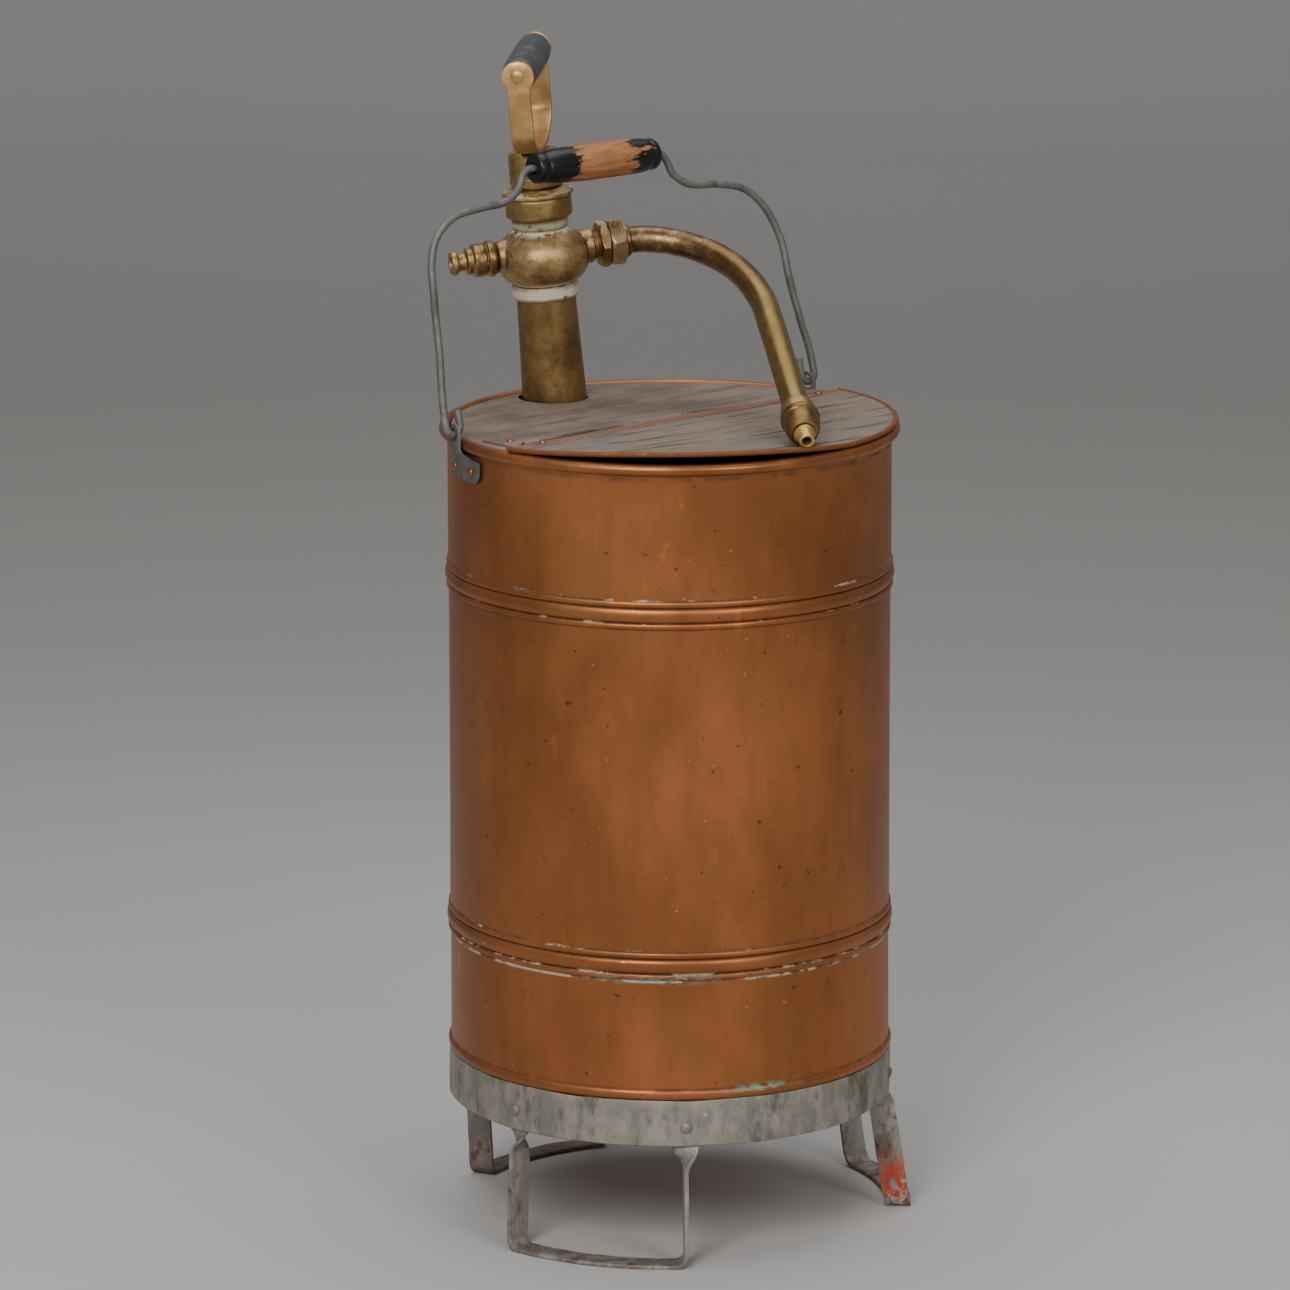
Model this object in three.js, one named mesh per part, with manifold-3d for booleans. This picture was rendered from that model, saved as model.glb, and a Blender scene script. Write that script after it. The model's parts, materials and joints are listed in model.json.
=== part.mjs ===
// A copper bucket tank on three strap feet, with a hinged half lid, a wire bail and a brass hand pump.
// Millimetres, +Z up. The part is built round the tank's upright axis with the floor at z = 0, and the
// whole group is then moved sideways so that the origin is the middle of its footprint.
// +X runs along the lid hinge, +Y points to the pump, so the flap and the nozzle are at -Y.
import * as THREE from "three";
import { mergeVertices } from "three/addons/utils/BufferGeometryUtils.js";
import Module from "manifold-3d";

const wasm = await Module();
wasm.setup();

// ---------------------------------------------------------------- driving dimensions
const TANK_RADIUS = 150;
const TANK_WALL = 1.5;
const TANK_SIDES = 44;
const BAND = { bottom: 84, top: 115.4, radius: 151.2, wall: 1.6 };
const BASE_BEAD = { bottom: 115.8, top: 122.6 };
const SWAGES = [208, 446.4];
const RIM = { ring: 151.5, curl: 4, wire: 2.3, z: 544.6 };
const STRAP = { width: 18, thickness: 3 };
const FEET = [
  { name: "front", from: -176.6, to: -128.8, reach: 149.5 },
  { name: "right", from: -49, to: -9, reach: 157.5 },
  { name: "rear", from: 66, to: 112.6, reach: 144 },
];
const LID = { z: 547.2, sheet: 1.2, radius: 147.1 };
const HINGE = { y: -4, z: 550.4, pin: 1.4, bore: 1.8, roll: 2.8 };
const FLAP = { z: 551.6, sheet: 1.2, radius: 154, hem: 1.7 };
const EARS = [
  { name: "left", azimuth: 161.8 },
  { name: "right", azimuth: 9.67 },
];
const EAR = { radius: 156.9, eye: 551.8, sheet: 2, hole: 4.5, half: 23, rivets: 4.8, rivetZ: 528 };
const BAIL = { wire: 2.65, lean: 14, span: 153.5, hook: 5.8, grip: 169, gripLength: 104, gripShift: -3 };
const PUMP = { x: 4.9, y: 121.1, z: 547, leanX: -5.25, leanY: 0.8 };
const PUMP_HOLE = { x: 4.2, y: 121.8, radius: 24 };
const BARREL = { radius: 20.25, foot: 22.2, wall: 1.5, bottom: -412, top: 81.4, piston: -374 };
const OUTLET = { height: 102.5, azimuth: -28, bore: 7 };
const SPOUT = { start: 62, swivel: 69.7, radius: 9.2, wall: 1.3 };
const BOSS_TOP = 173.5;
const HANDLE = { azimuth: 41, eye: 234.5, half: 50, drop: 20, strap: 4, width: 16, grip: 45.5 };
const GAP = 0.3;

const degrees = THREE.MathUtils.degToRad;
const material = (color, roughness, metalness) =>
  new THREE.MeshStandardMaterial({ color, roughness, metalness });
const COPPER = material(0x8a5430, 0.45, 1);
const DUSTY = material(0x83766c, 0.85, 0.3);
const BRASS = material(0x8a7038, 0.4, 1);
const GALVANISED = material(0x75756a, 0.65, 0.8);
const IRON = material(0x4a4038, 0.8, 0.6);
const WOOD = material(0xa06a42, 0.7, 0);
const BLACKENED = material(0x3c3b3b, 0.55, 0);
const LEATHER = material(0x4b3222, 0.8, 0);

// ---------------------------------------------------------------- solids
function solid(geometry) {
  const bare = geometry.index ? geometry.toNonIndexed() : geometry.clone();
  bare.deleteAttribute("normal");
  bare.deleteAttribute("uv");
  const merged = mergeVertices(bare, 1e-4);
  const vertProperties = merged.attributes.position.array;
  const triVerts = new Uint32Array(merged.index.array);
  return new wasm.Manifold(new wasm.Mesh({ numProp: 3, vertProperties, triVerts }));
}

function geometryOf(manifold) {
  const mesh = manifold.getMesh();
  const positions = new Float32Array(mesh.numVert * 3);
  for (let i = 0; i < mesh.numVert; i++) {
    const start = i * mesh.numProp;
    positions.set(mesh.vertProperties.subarray(start, start + 3), i * 3);
  }
  const geometry = new THREE.BufferGeometry();
  geometry.setAttribute("position", new THREE.BufferAttribute(positions, 3));
  geometry.setIndex(new THREE.BufferAttribute(mesh.triVerts, 1));
  return geometry;
}

const cut = (body, ...tools) =>
  geometryOf(tools.reduce((left, tool) => left.subtract(solid(tool)), solid(body)));
const join = (body, ...others) =>
  geometryOf(others.reduce((sum, other) => sum.add(solid(other)), solid(body)));
const common = (a, b) => geometryOf(solid(a).intersect(solid(b)));

// A turned piece about Z from [radius, height] points, outer side first and upwards.
function turned(points, sides = 20) {
  const outline = points.map(([radius, height]) => new THREE.Vector2(radius, height));
  return new THREE.LatheGeometry(outline, sides).rotateX(Math.PI / 2);
}

// A straight tube about Z, and a plain rod about Z.
const tube = (outer, inner, low, high, sides = 20) =>
  turned([[inner, low], [outer, low], [outer, high], [inner, high], [inner, low]], sides);
const rod = (radius, low, high, sides = 20) =>
  turned([[0, low], [radius, low], [radius, high], [0, high]], sides);

const plate = (shape, depth, curveSegments = 12) =>
  new THREE.ExtrudeGeometry(shape, { depth, bevelEnabled: false, curveSegments });

// A closed skin over a row of rings that all have the same number of points.
function loft(rings) {
  const count = rings[0].length;
  const positions = rings.flat().flatMap((p) => [p.x, p.y, p.z]);
  const index = [];
  for (let i = 0; i + 1 < rings.length; i++)
    for (let j = 0; j < count; j++) {
      const a = i * count + j;
      const b = i * count + ((j + 1) % count);
      index.push(a, b, b + count, a, b + count, a + count);
    }
  const last = (rings.length - 1) * count;
  for (let j = 1; j + 1 < count; j++) {
    index.push(0, j + 1, j);
    index.push(last, last + j, last + j + 1);
  }
  const geometry = new THREE.BufferGeometry();
  geometry.setAttribute("position", new THREE.Float32BufferAttribute(positions, 3));
  geometry.setIndex(index);
  return geometry;
}

// A round wire or pipe through the given points.
function sweep(points, radius, steps, curveSegments, bore = 0) {
  const extrudePath = new THREE.CatmullRomCurve3(points, false, "centripetal");
  const section = new THREE.Shape().absarc(0, 0, radius, 0, 2 * Math.PI, false);
  if (bore) section.holes.push(new THREE.Path().absarc(0, 0, bore, 0, 2 * Math.PI, true));
  return new THREE.ExtrudeGeometry(section, { steps, extrudePath, curveSegments, bevelEnabled: false });
}

// ---------------------------------------------------------------- scene graph helpers
const model = new THREE.Group();
function add(parent, name, geometry, look) {
  const mesh = new THREE.Mesh(geometry, look);
  mesh.name = name;
  parent.add(mesh);
  return mesh;
}

// A group at an azimuth whose +X points outwards.
function outward(azimuth, parent = model) {
  const group = new THREE.Group();
  group.rotation.z = degrees(azimuth);
  parent.add(group);
  return group;
}

// Turns a piece made about Z so that it lies along X.
const alongX = (geometry) => geometry.rotateY(Math.PI / 2);

// A hexagonal nut about Z: `half` is half its size across the flats.
const HEX_CORNER = 1.1547;
const hexNut = (half, hole, low, high) =>
  cut(rod(half * HEX_CORNER, low, high, 6), rod(hole, low - 1, high + 1));

// A rivet along X: a flat tail from `tail`, a shank, and a dome that starts at `seat`.
function rivet(tail, seat, shank, head, dome) {
  const profile = [[0, tail], [head * 0.8, tail], [head * 0.8, tail + 1], [shank, tail + 1], [shank, seat]];
  for (const turn of [0, 45])
    profile.push([head * Math.cos(degrees(turn)), seat + dome * Math.sin(degrees(turn))]);
  profile.push([0, seat + dome]);
  return alongX(turned(profile, 8));
}
const rivetHole = (radius, y, z, low, high) =>
  alongX(rod(radius, low, high, 12)).translate(0, y, z);

// ---------------------------------------------------------------- tank
// A swage is a wide bead between two narrow ones.
const SWAGE_BEADS = [[-9.2, -5.6, 1.1], [-4.6, 4.6, 2], [5.6, 9.2, 1.1]];
function bead(outline, low, high, proud) {
  const middle = (low + high) / 2;
  outline.push([TANK_RADIUS, low], [TANK_RADIUS + proud, middle], [TANK_RADIUS, high]);
}

// The shell runs down inside the base band as far as the tops of the feet.
const SKIRT = 109;
function tankOutline() {
  const inset = BAND.radius - BAND.wall - GAP;
  const outline = [[inset, SKIRT], [inset, BASE_BEAD.bottom]];
  bead(outline, BASE_BEAD.bottom + 0.2, BASE_BEAD.top, 1.8);
  for (const z of SWAGES)
    for (const [low, high, proud] of SWAGE_BEADS)
      bead(outline, z + low, z + high, proud);
  outline.push([TANK_RADIUS, RIM.z - 6]);
  const inside = RIM.curl - 1.1;
  for (let turn = -60; turn <= 210; turn += 45)
    outline.push(around(RIM.curl, turn));
  for (let turn = 210; turn >= -90; turn -= 50)
    outline.push(around(inside, turn));
  outline.push([TANK_RADIUS - TANK_WALL, RIM.z - 6]);
  outline.push([TANK_RADIUS - TANK_WALL, BASE_BEAD.bottom + 1]);
  outline.push([inset - TANK_WALL, BASE_BEAD.bottom - 1], [inset - TANK_WALL, SKIRT], [inset, SKIRT]);
  return outline;
}
const around = (radius, turn) => [
  RIM.ring + radius * Math.cos(degrees(turn)),
  RIM.z + radius * Math.sin(degrees(turn)),
];

function earRivetAzimuths() {
  return EARS.flatMap((ear) => [-1, 1].map((side) => ear.azimuth + side * EAR.rivets));
}

function buildTank() {
  const holes = earRivetAzimuths().map((azimuth) =>
    rivetHole(2.1, 0, EAR.rivetZ, 140, 160).rotateZ(degrees(azimuth)));
  add(model, "tank_shell", cut(turned(tankOutline(), TANK_SIDES), ...holes), COPPER);
  const wire = new THREE.TorusGeometry(RIM.ring, RIM.wire, 6, TANK_SIDES);
  add(model, "rim_wire", wire.translate(0, 0, RIM.z), IRON);
  const dish = [[0, 116], [146.8, 116], [146.8, 117.6], [0, 117.6]];
  add(model, "tank_bottom", turned(dish, TANK_SIDES), COPPER);
  const inner = BAND.radius - BAND.wall;
  const band = tube(BAND.radius, inner, BAND.bottom, BAND.top, TANK_SIDES);
  const bandHoles = FEET.flatMap((foot) => [foot.from, foot.to]).map((azimuth) =>
    rivetHole(2.3, 0, RIVET_Z, 140, 160).rotateZ(degrees(azimuth)));
  add(model, "base_band", cut(band, ...bandHoles), GALVANISED);
}

// ---------------------------------------------------------------- feet
const RIVET_Z = 97;
const STRAP_TOP = BAND.radius - BAND.wall - 1.2 - STRAP.thickness / 2;

// One ring of the flat bar at a point, with its width along `wide`.
function barRing(point, along, wide) {
  const thick = along.clone().cross(wide).normalize();
  return [[-1, -1], [1, -1], [1, 1], [-1, 1]].map(([a, b]) => {
    const corner = point.clone().addScaledVector(wide, (a * STRAP.width) / 2);
    return corner.addScaledVector(thick, (b * STRAP.thickness) / 2);
  });
}

function footRings({ from, to, reach }) {
  const bend = 7;
  const floor = STRAP.thickness / 2;
  const down = new THREE.Vector3(0, 0, -1);
  const radial = (azimuth) => new THREE.Vector3(Math.cos(degrees(azimuth)), Math.sin(degrees(azimuth)), 0);
  const tangent = (azimuth) => radial(azimuth + 90);
  const place = (azimuth, radius, z) => radial(azimuth).multiplyScalar(radius).setZ(z);
  const legStops = [[108, 0], [83, 0], [78, 35], [72, 70], [66, 90], [floor + bend, 90]];
  const leg = (azimuth, along) => legStops.map(([z, twist]) => {
    const share = Math.max(0, (70 - z) / (70 - floor));
    const radius = THREE.MathUtils.lerp(STRAP_TOP, reach, share);
    const wide = tangent(azimuth).multiplyScalar(Math.cos(degrees(twist)))
      .addScaledVector(radial(azimuth), Math.sin(degrees(twist)));
    return barRing(place(azimuth, radius, z), along, wide);
  });
  const turnInto = (azimuth, way) => [30, 60].map((turn) => {
    const side = tangent(azimuth).multiplyScalar(way);
    const point = place(azimuth, reach, floor + bend * (1 - Math.sin(degrees(turn))));
    point.addScaledVector(side, bend * (1 - Math.cos(degrees(turn))));
    const along = down.clone().multiplyScalar(way * Math.cos(degrees(turn)))
      .addScaledVector(tangent(azimuth), Math.sin(degrees(turn)));
    return barRing(point, along, radial(azimuth));
  });
  const inset = THREE.MathUtils.radToDeg(bend / reach);
  const sole = Array.from({ length: 7 }, (_, i) => {
    const azimuth = THREE.MathUtils.lerp(from + inset, to - inset, i / 6);
    return barRing(place(azimuth, reach, floor), tangent(azimuth), radial(azimuth));
  });
  const firstLeg = [...leg(from, down), ...turnInto(from, 1)];
  const lastLeg = [...leg(to, down.clone().negate()), ...turnInto(to, -1)];
  return [...firstLeg, ...sole, ...lastLeg.reverse()];
}

function buildFeet() {
  for (const foot of FEET) {
    const holes = [foot.from, foot.to].map((azimuth) =>
      rivetHole(2.3, 0, RIVET_Z, 140, 160).rotateZ(degrees(azimuth)));
    add(model, "foot_" + foot.name, cut(loft(footRings(foot)), ...holes), GALVANISED);
    [foot.from, foot.to].forEach((azimuth, i) => {
      const tail = STRAP_TOP - STRAP.thickness / 2 - GAP - 1;
      const pin = rivet(tail, BAND.radius + GAP, 2, 3.6, 2);
      const spot = outward(azimuth);
      add(spot, `foot_rivet_${foot.name}_${i + 1}`, pin, GALVANISED).position.z = RIVET_Z;
    });
  }
}

// ---------------------------------------------------------------- lid
const halfDisc = (radius, edge, sign) => {
  const reach = Math.acos(Math.abs(edge) / radius);
  const centre = (sign * Math.PI) / 2;
  const shape = new THREE.Shape();
  shape.absarc(0, 0, radius, centre - reach, centre + reach, false);
  shape.closePath();
  return shape;
};

// The knuckles of one leaf: short tubes round the pin, tied to the sheet by a thin web.
function knuckles(spans, sign, reachY, sheetLow, sheetHigh) {
  return spans.map(([from, to]) => {
    const barrel = alongX(rod(HINGE.roll, from, to, 12)).translate(0, HINGE.y, HINGE.z);
    const web = new THREE.BoxGeometry(to - from, reachY, sheetHigh - sheetLow);
    web.translate((from + to) / 2, HINGE.y + (sign * reachY) / 2, (sheetLow + sheetHigh) / 2);
    return join(barrel, web);
  });
}

const LEAF_SPANS = [[-136, -122], [-7, 7], [122, 136]];
const FLAP_SPANS = [[-121.5, -7.5], [7.5, 121.5]];
const LID_RIVET_X = 127;

function buildLid() {
  const pinHole = alongX(rod(HINGE.bore, -160, 160, 12)).translate(0, HINGE.y, HINGE.z);
  const rear = plate(halfDisc(LID.radius, 0.5, 1), LID.sheet, 36).translate(0, 0, LID.z - LID.sheet);
  const pumpHole = rod(PUMP_HOLE.radius, 500, 600, 28).translate(PUMP_HOLE.x, PUMP_HOLE.y, 0);
  const leafRivetHoles = [-1, 1].map((side) => rod(1.6, 500, 600, 10).translate(side * LID_RIVET_X, 19, 0));
  add(model, "lid_rear", cut(rear, pumpHole, ...leafRivetHoles), DUSTY);

  const leafLow = LID.z + GAP;
  const leaf = new THREE.BoxGeometry(276, 34, 0.9).translate(0, 18, leafLow + 0.45);
  const fold = new THREE.BoxGeometry(270, 2.4, 1.5).translate(0, 14, leafLow + 0.75);
  const leafEdge = plate(halfDisc(146, 0.5, 1), 20, 36).translate(0, 0, 540);
  const leafBody = common(join(leaf, fold), leafEdge);
  const leafKnuckles = knuckles(LEAF_SPANS, 1, 7, leafLow, leafLow + 0.9);
  add(model, "hinge_leaf", cut(join(leafBody, ...leafKnuckles), pinHole, ...leafRivetHoles), DUSTY);

  const hingePin = alongX(rod(HINGE.pin, -137, 137, 12));
  add(model, "hinge_pin", hingePin, IRON).position.set(0, HINGE.y, HINGE.z);

  const flapEdge = HINGE.y - HINGE.roll - GAP;
  const sheet = plate(halfDisc(FLAP.radius, flapEdge, -1), FLAP.sheet, 36)
    .translate(0, 0, FLAP.z - FLAP.sheet);
  const hemLow = FLAP.z - 2 * FLAP.hem + 0.6;
  const hemHigh = FLAP.z + 0.6;
  const hem = tube(FLAP.radius + 0.4, FLAP.radius - 3.2, hemLow, hemHigh, 60);
  const hemFront = common(hem, plate(halfDisc(FLAP.radius + 10, flapEdge, -1), 30, 8).translate(0, 0, 540));
  const strip = new THREE.BoxGeometry(262, 9, 1.8).translate(0, flapEdge - 5, FLAP.z - FLAP.sheet + 0.9);
  const webs = FLAP_SPANS.map(([from, to]) => {
    const barrel = alongX(rod(HINGE.roll, from, to, 12)).translate(0, HINGE.y, HINGE.z);
    const web = new THREE.BoxGeometry(to - from, 6, FLAP.sheet);
    return join(barrel, web.translate((from + to) / 2, HINGE.y - 3, FLAP.z - FLAP.sheet / 2));
  });
  const flapRivetHoles = [-1, 1].map((side) => rod(1.6, 500, 600, 10).translate(side * LID_RIVET_X, -13, 0));
  add(model, "lid_flap", cut(join(sheet, hemFront, strip, ...webs), pinHole, ...flapRivetHoles), DUSTY);

  const button = (low, high) =>
    turned([[0, low - 1.3], [2.4, low - 1.3], [2.4, low - GAP], [1.3, low - GAP], [1.3, high + GAP],
      [2.6, high + GAP], [1.8, high + 1.3], [0, high + 1.6]], 8);
  [-1, 1].forEach((side, i) => {
    const leafRivet = button(LID.z - LID.sheet, leafLow + 0.9);
    add(model, `leaf_rivet_${i + 1}`, leafRivet, COPPER).position.set(side * LID_RIVET_X, 19, 0);
    const flapRivet = button(FLAP.z - FLAP.sheet, FLAP.z + 0.6);
    add(model, `flap_rivet_${i + 1}`, flapRivet, COPPER).position.set(side * LID_RIVET_X, -13, 0);
  });
}

// ---------------------------------------------------------------- bail
const earOutline = (face) =>
  plate(face, 40, 6).rotateX(Math.PI / 2).rotateZ(Math.PI / 2).translate(140, 0, 0);

// The wide part of an ear, curved round the tank, with round lower corners.
function earWing(wall) {
  const { half } = EAR;
  const face = new THREE.Shape();
  face.moveTo(7, 540);
  face.lineTo(-7, 540);
  face.bezierCurveTo(-8, 538, -12, 537.5, -half + 4, 537.2);
  face.lineTo(-half, 534);
  face.lineTo(-half, 529);
  face.absarc(-half + 8, 529, 8, Math.PI, 1.5 * Math.PI, false);
  face.absarc(half - 8, 529, 8, 1.5 * Math.PI, 2 * Math.PI, false);
  face.lineTo(half, 534);
  face.lineTo(half - 4, 537.2);
  face.bezierCurveTo(12, 537.5, 8, 538, 7, 540);
  face.closePath();
  return common(tube(wall + EAR.sheet, wall, 515, 537.2, 90), earOutline(face));
}

function buildEars() {
  for (const ear of EARS) {
    const group = outward(ear.azimuth);
    const wall = TANK_RADIUS + GAP + 0.1;
    const neck = EAR.radius - EAR.sheet / 2;
    const section = new THREE.Shape();
    section.moveTo(wall + 0.5, 530);
    section.lineTo(wall + EAR.sheet, 530);
    section.lineTo(wall + EAR.sheet, 535.4);
    section.lineTo(neck + EAR.sheet, 541);
    section.lineTo(neck + EAR.sheet, 566);
    section.lineTo(neck, 566);
    section.lineTo(neck, 541.8);
    section.lineTo(wall + 0.5, 536.2);
    section.closePath();
    const strap = plate(section, 24).translate(0, 0, -12).rotateX(Math.PI / 2);
    const face = new THREE.Shape();
    face.absarc(0, EAR.eye, 7, 0, Math.PI, false);
    face.lineTo(-7, 528);
    face.lineTo(7, 528);
    face.closePath();
    const tab = common(strap, earOutline(face));
    const eye = rivetHole(EAR.hole, 0, EAR.eye, 140, 175);
    const rivetHoles = [-1, 1].map((side) =>
      rivetHole(2.1, 0, EAR.rivetZ, 140, 160).rotateZ(degrees(side * EAR.rivets)));
    const body = join(tab, earWing(wall));
    add(group, "ear_" + ear.name, cut(body, eye, ...rivetHoles), GALVANISED);
    [-1, 1].forEach((side, i) => {
      const tail = TANK_RADIUS - TANK_WALL - 2.6;
      const pin = rivet(tail, wall + EAR.sheet + GAP, 1.8, 3.2, 1.6);
      const spot = outward(side * EAR.rivets, group);
      add(spot, `ear_rivet_${ear.name}_${i + 1}`, pin, COPPER).position.z = EAR.rivetZ;
    });
  }
}

// The wire's own line, across (from the middle, + to the right) and up from the ears' axis.
const BAIL_LEFT = [[-158.6, 22], [-155, 58], [-152.8, 92], [-150.2, 115], [-143, 131.5], [-127, 143],
  [-103, 147], [-80, 150], [-69.5, 157], [-63.5, 166], [-58.5, 168.8], [-52, 169]];
const BAIL_RIGHT = [[158.4, 22], [154, 43], [150.3, 74], [147, 102], [138.5, 122], [123.5, 137],
  [103, 142.5], [74, 146], [62.5, 154], [58.5, 164], [54.5, 168.4], [48, 169]];

const inBailPlane = (line) => line.map(([across, up]) => new THREE.Vector3(across, 0, up));

// The hooked end: in through the eye and up behind it. side is -1 on the left and 1 on the right.
function bailHook(side) {
  const bend = [180, 210, 240, 270, 300, 330, 360].map((turn) => [
    side * (BAIL.span + BAIL.hook * Math.cos(degrees(turn))),
    BAIL.hook * (1 + Math.sin(degrees(turn))),
  ]);
  const inside = side * (BAIL.span - BAIL.hook);
  const outside = side * (BAIL.span + BAIL.hook);
  return inBailPlane([[inside, 16], [inside, 10], ...bend, [outside, 11]]);
}

function bailWire() {
  const outside = BAIL.span + BAIL.hook;
  const line = [[-outside, 8], ...BAIL_LEFT, [0, BAIL.grip], ...BAIL_RIGHT.toReversed(), [outside, 8]];
  const main = sweep(inBailPlane(line), BAIL.wire, 60, 3);
  return join(main, ...[-1, 1].map((side) => sweep(bailHook(side), BAIL.wire, 12, 3)));
}

function buildBail() {
  const up = new THREE.Vector3(0, 0, 1);
  const spots = EARS.map(({ azimuth }) =>
    new THREE.Vector3(EAR.radius, 0, EAR.eye).applyAxisAngle(up, degrees(azimuth)));
  const middle = spots[0].clone().add(spots[1]).multiplyScalar(0.5);
  const axis = spots[1].clone().sub(spots[0]);
  const bail = new THREE.Group();
  bail.position.copy(middle);
  bail.rotation.order = "ZXY";
  bail.rotation.z = Math.atan2(axis.y, axis.x);
  bail.rotation.x = -degrees(BAIL.lean);
  model.add(bail);
  add(bail, "bail_wire", bailWire(), GALVANISED);
  const half = BAIL.gripLength / 2;
  const profile = [[3.8, -half], [9.8, -half], [11.2, -half + 3], [12, -half * 0.5], [12.6, 0],
    [12.2, half * 0.5], [11.4, half - 5], [9.2, half], [3.8, half], [3.8, -half]];
  add(bail, "bail_grip", alongX(turned(profile, 18)), WOOD).position.set(BAIL.gripShift, 0, BAIL.grip);
}

// ---------------------------------------------------------------- pump
const pump = new THREE.Group();
pump.position.set(PUMP.x, PUMP.y, PUMP.z);
pump.rotation.order = "XYZ";
pump.rotation.set(-degrees(PUMP.leanY), degrees(PUMP.leanX), 0);
model.add(pump);

function buildPumpBody() {
  const bore0 = BARREL.radius - BARREL.wall;
  const barrel = [[bore0, BARREL.bottom], [BARREL.foot, BARREL.bottom], [BARREL.foot, 0],
    [BARREL.radius, 66], [BARREL.radius, BARREL.top], [bore0, BARREL.top], [bore0, BARREL.bottom]];
  add(pump, "pump_barrel", turned(barrel, 24), BRASS);
  const bore = BARREL.radius + GAP;
  const collar = [[bore, 71.6], [22.2, 71.6], [23.3, 73.4], [23.3, 79], [22.4, 81.4], [bore, 81.4],
    [bore, 71.6]];
  add(pump, "pump_collar", turned(collar, 24), BRASS);

  const outline = [[15, 81.8], [22, 81.8], [26.8, 85.5], [30.2, 91], [31.6, 98.5], [30.8, 106],
    [27.4, 112.4], [19.2, 117.6], [19.2, 135.6], [15, 135.6], [15, 81.8]];
  const outlets = new THREE.Group();
  outlets.position.z = OUTLET.height;
  outlets.rotation.z = degrees(OUTLET.azimuth);
  pump.add(outlets);
  const onAxis = (geometry) =>
    alongX(geometry).rotateZ(degrees(OUTLET.azimuth)).translate(0, 0, OUTLET.height);
  const boss = onAxis(turned([[0, -33], [10.8, -33], [11.6, -29], [11.6, 29], [11, 33], [9.9, 35],
    [9.9, 50.5], [0, 50.5]], 14));
  const passage = onAxis(rod(OUTLET.bore, -60, 60, 12));
  const chamber = rod(15, 81, 137, 14);
  add(pump, "pump_head", cut(join(turned(outline), boss), chamber, passage), BRASS);

  const tail = [[4.6, -64.6], [8.3, -64.6], [8.3, -60], [6.3, -59], [6.3, -54.5], [9.2, -53.5],
    [9.2, -50], [11.4, -49], [11.6, -42], [10.6, -40.5], [12.5, -39.5], [12.5, -35], [10.4, -33.4],
    [4.6, -33.4], [4.6, -64.6]];
  add(outlets, "hose_tail", alongX(turned(tail, 20)), BRASS);
  add(outlets, "lock_nut", alongX(hexNut(14.6, 10.5, 39.2, 45.4)), BRASS);
  const nut = [[10.3, 45.9], [15.8, 45.9], [17.2, 48], [17.2, 55], [14.8, 57.4], [10.3, 57.4], [10.3, 45.9]];
  const faces = alongX(rod(15 * HEX_CORNER, 45, 60, 6));
  const unionBody = common(alongX(turned(nut, 24)), faces);
  add(outlets, "union_nut", unionBody, BRASS);
}

function buildGland() {
  const nut = [[19.6, 127.6], [21.8, 127.6], [22.7, 129], [22.7, 142.4], [24.4, 143], [24.4, 145.4],
    [22.8, 146.4], [16.5, 149], [6.6, 149], [6.6, 136.4], [19.6, 136.4], [19.6, 127.6]];
  add(pump, "gland_nut", turned(nut, 24), BRASS);
  add(pump, "gland_packing", tube(14.6, 6.5, 118, 136, 20), LEATHER);
}

function buildRod() {
  add(pump, "pump_rod", rod(6, BARREL.piston - 10, 170, 16), BRASS);
  const boss = [[0, 170.4], [6.4, 170.4], [6.4, 149.4], [17.4, 149.4], [18.2, 151], [18.2, 170.4],
    [16.4, BOSS_TOP], [0, BOSS_TOP]];
  add(pump, "rod_boss", turned(boss, 24), BRASS);

  const handle = new THREE.Group();
  handle.rotation.z = degrees(HANDLE.azimuth);
  pump.add(handle);
  const half = HANDLE.strap / 2;
  const low = BOSS_TOP + GAP + half;
  const bow = new THREE.Shape();
  bow.moveTo(HANDLE.half + half, HANDLE.eye);
  bow.absellipse(0, low + HANDLE.drop, HANDLE.half + half, HANDLE.drop + half, 0, Math.PI, true);
  bow.lineTo(-HANDLE.half - half, HANDLE.eye);
  bow.lineTo(-HANDLE.half + half, HANDLE.eye);
  bow.absellipse(0, low + HANDLE.drop, HANDLE.half - half, HANDLE.drop - half, Math.PI, 0, false);
  bow.lineTo(HANDLE.half - half, HANDLE.eye);
  bow.closePath();
  const strap = plate(bow, HANDLE.width, 14).translate(0, 0, -HANDLE.width / 2).rotateX(Math.PI / 2);
  const eyes = [-1, 1].map((side) => {
    const middle = side * HANDLE.half;
    return alongX(rod(10.9, middle - half, middle + half)).translate(0, 0, HANDLE.eye);
  });
  const pinHole = alongX(rod(3.1, -70, 70, 12)).translate(0, 0, HANDLE.eye);
  add(handle, "handle_yoke", cut(join(strap, ...eyes), pinHole), BRASS);
  const end = HANDLE.grip;
  const grip = [[3.2, -end], [10.4, -end], [11.4, -end + 3], [11.9, -end / 2], [12, 0], [11.9, end / 2],
    [11.4, end - 3], [10.4, end], [3.2, end], [3.2, -end]];
  add(handle, "handle_grip", alongX(turned(grip, 20)), BLACKENED).position.z = HANDLE.eye;
  add(handle, "handle_pin", alongX(rod(2.8, -53.6, 53.6, 12)), BRASS).position.z = HANDLE.eye;
}

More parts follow.
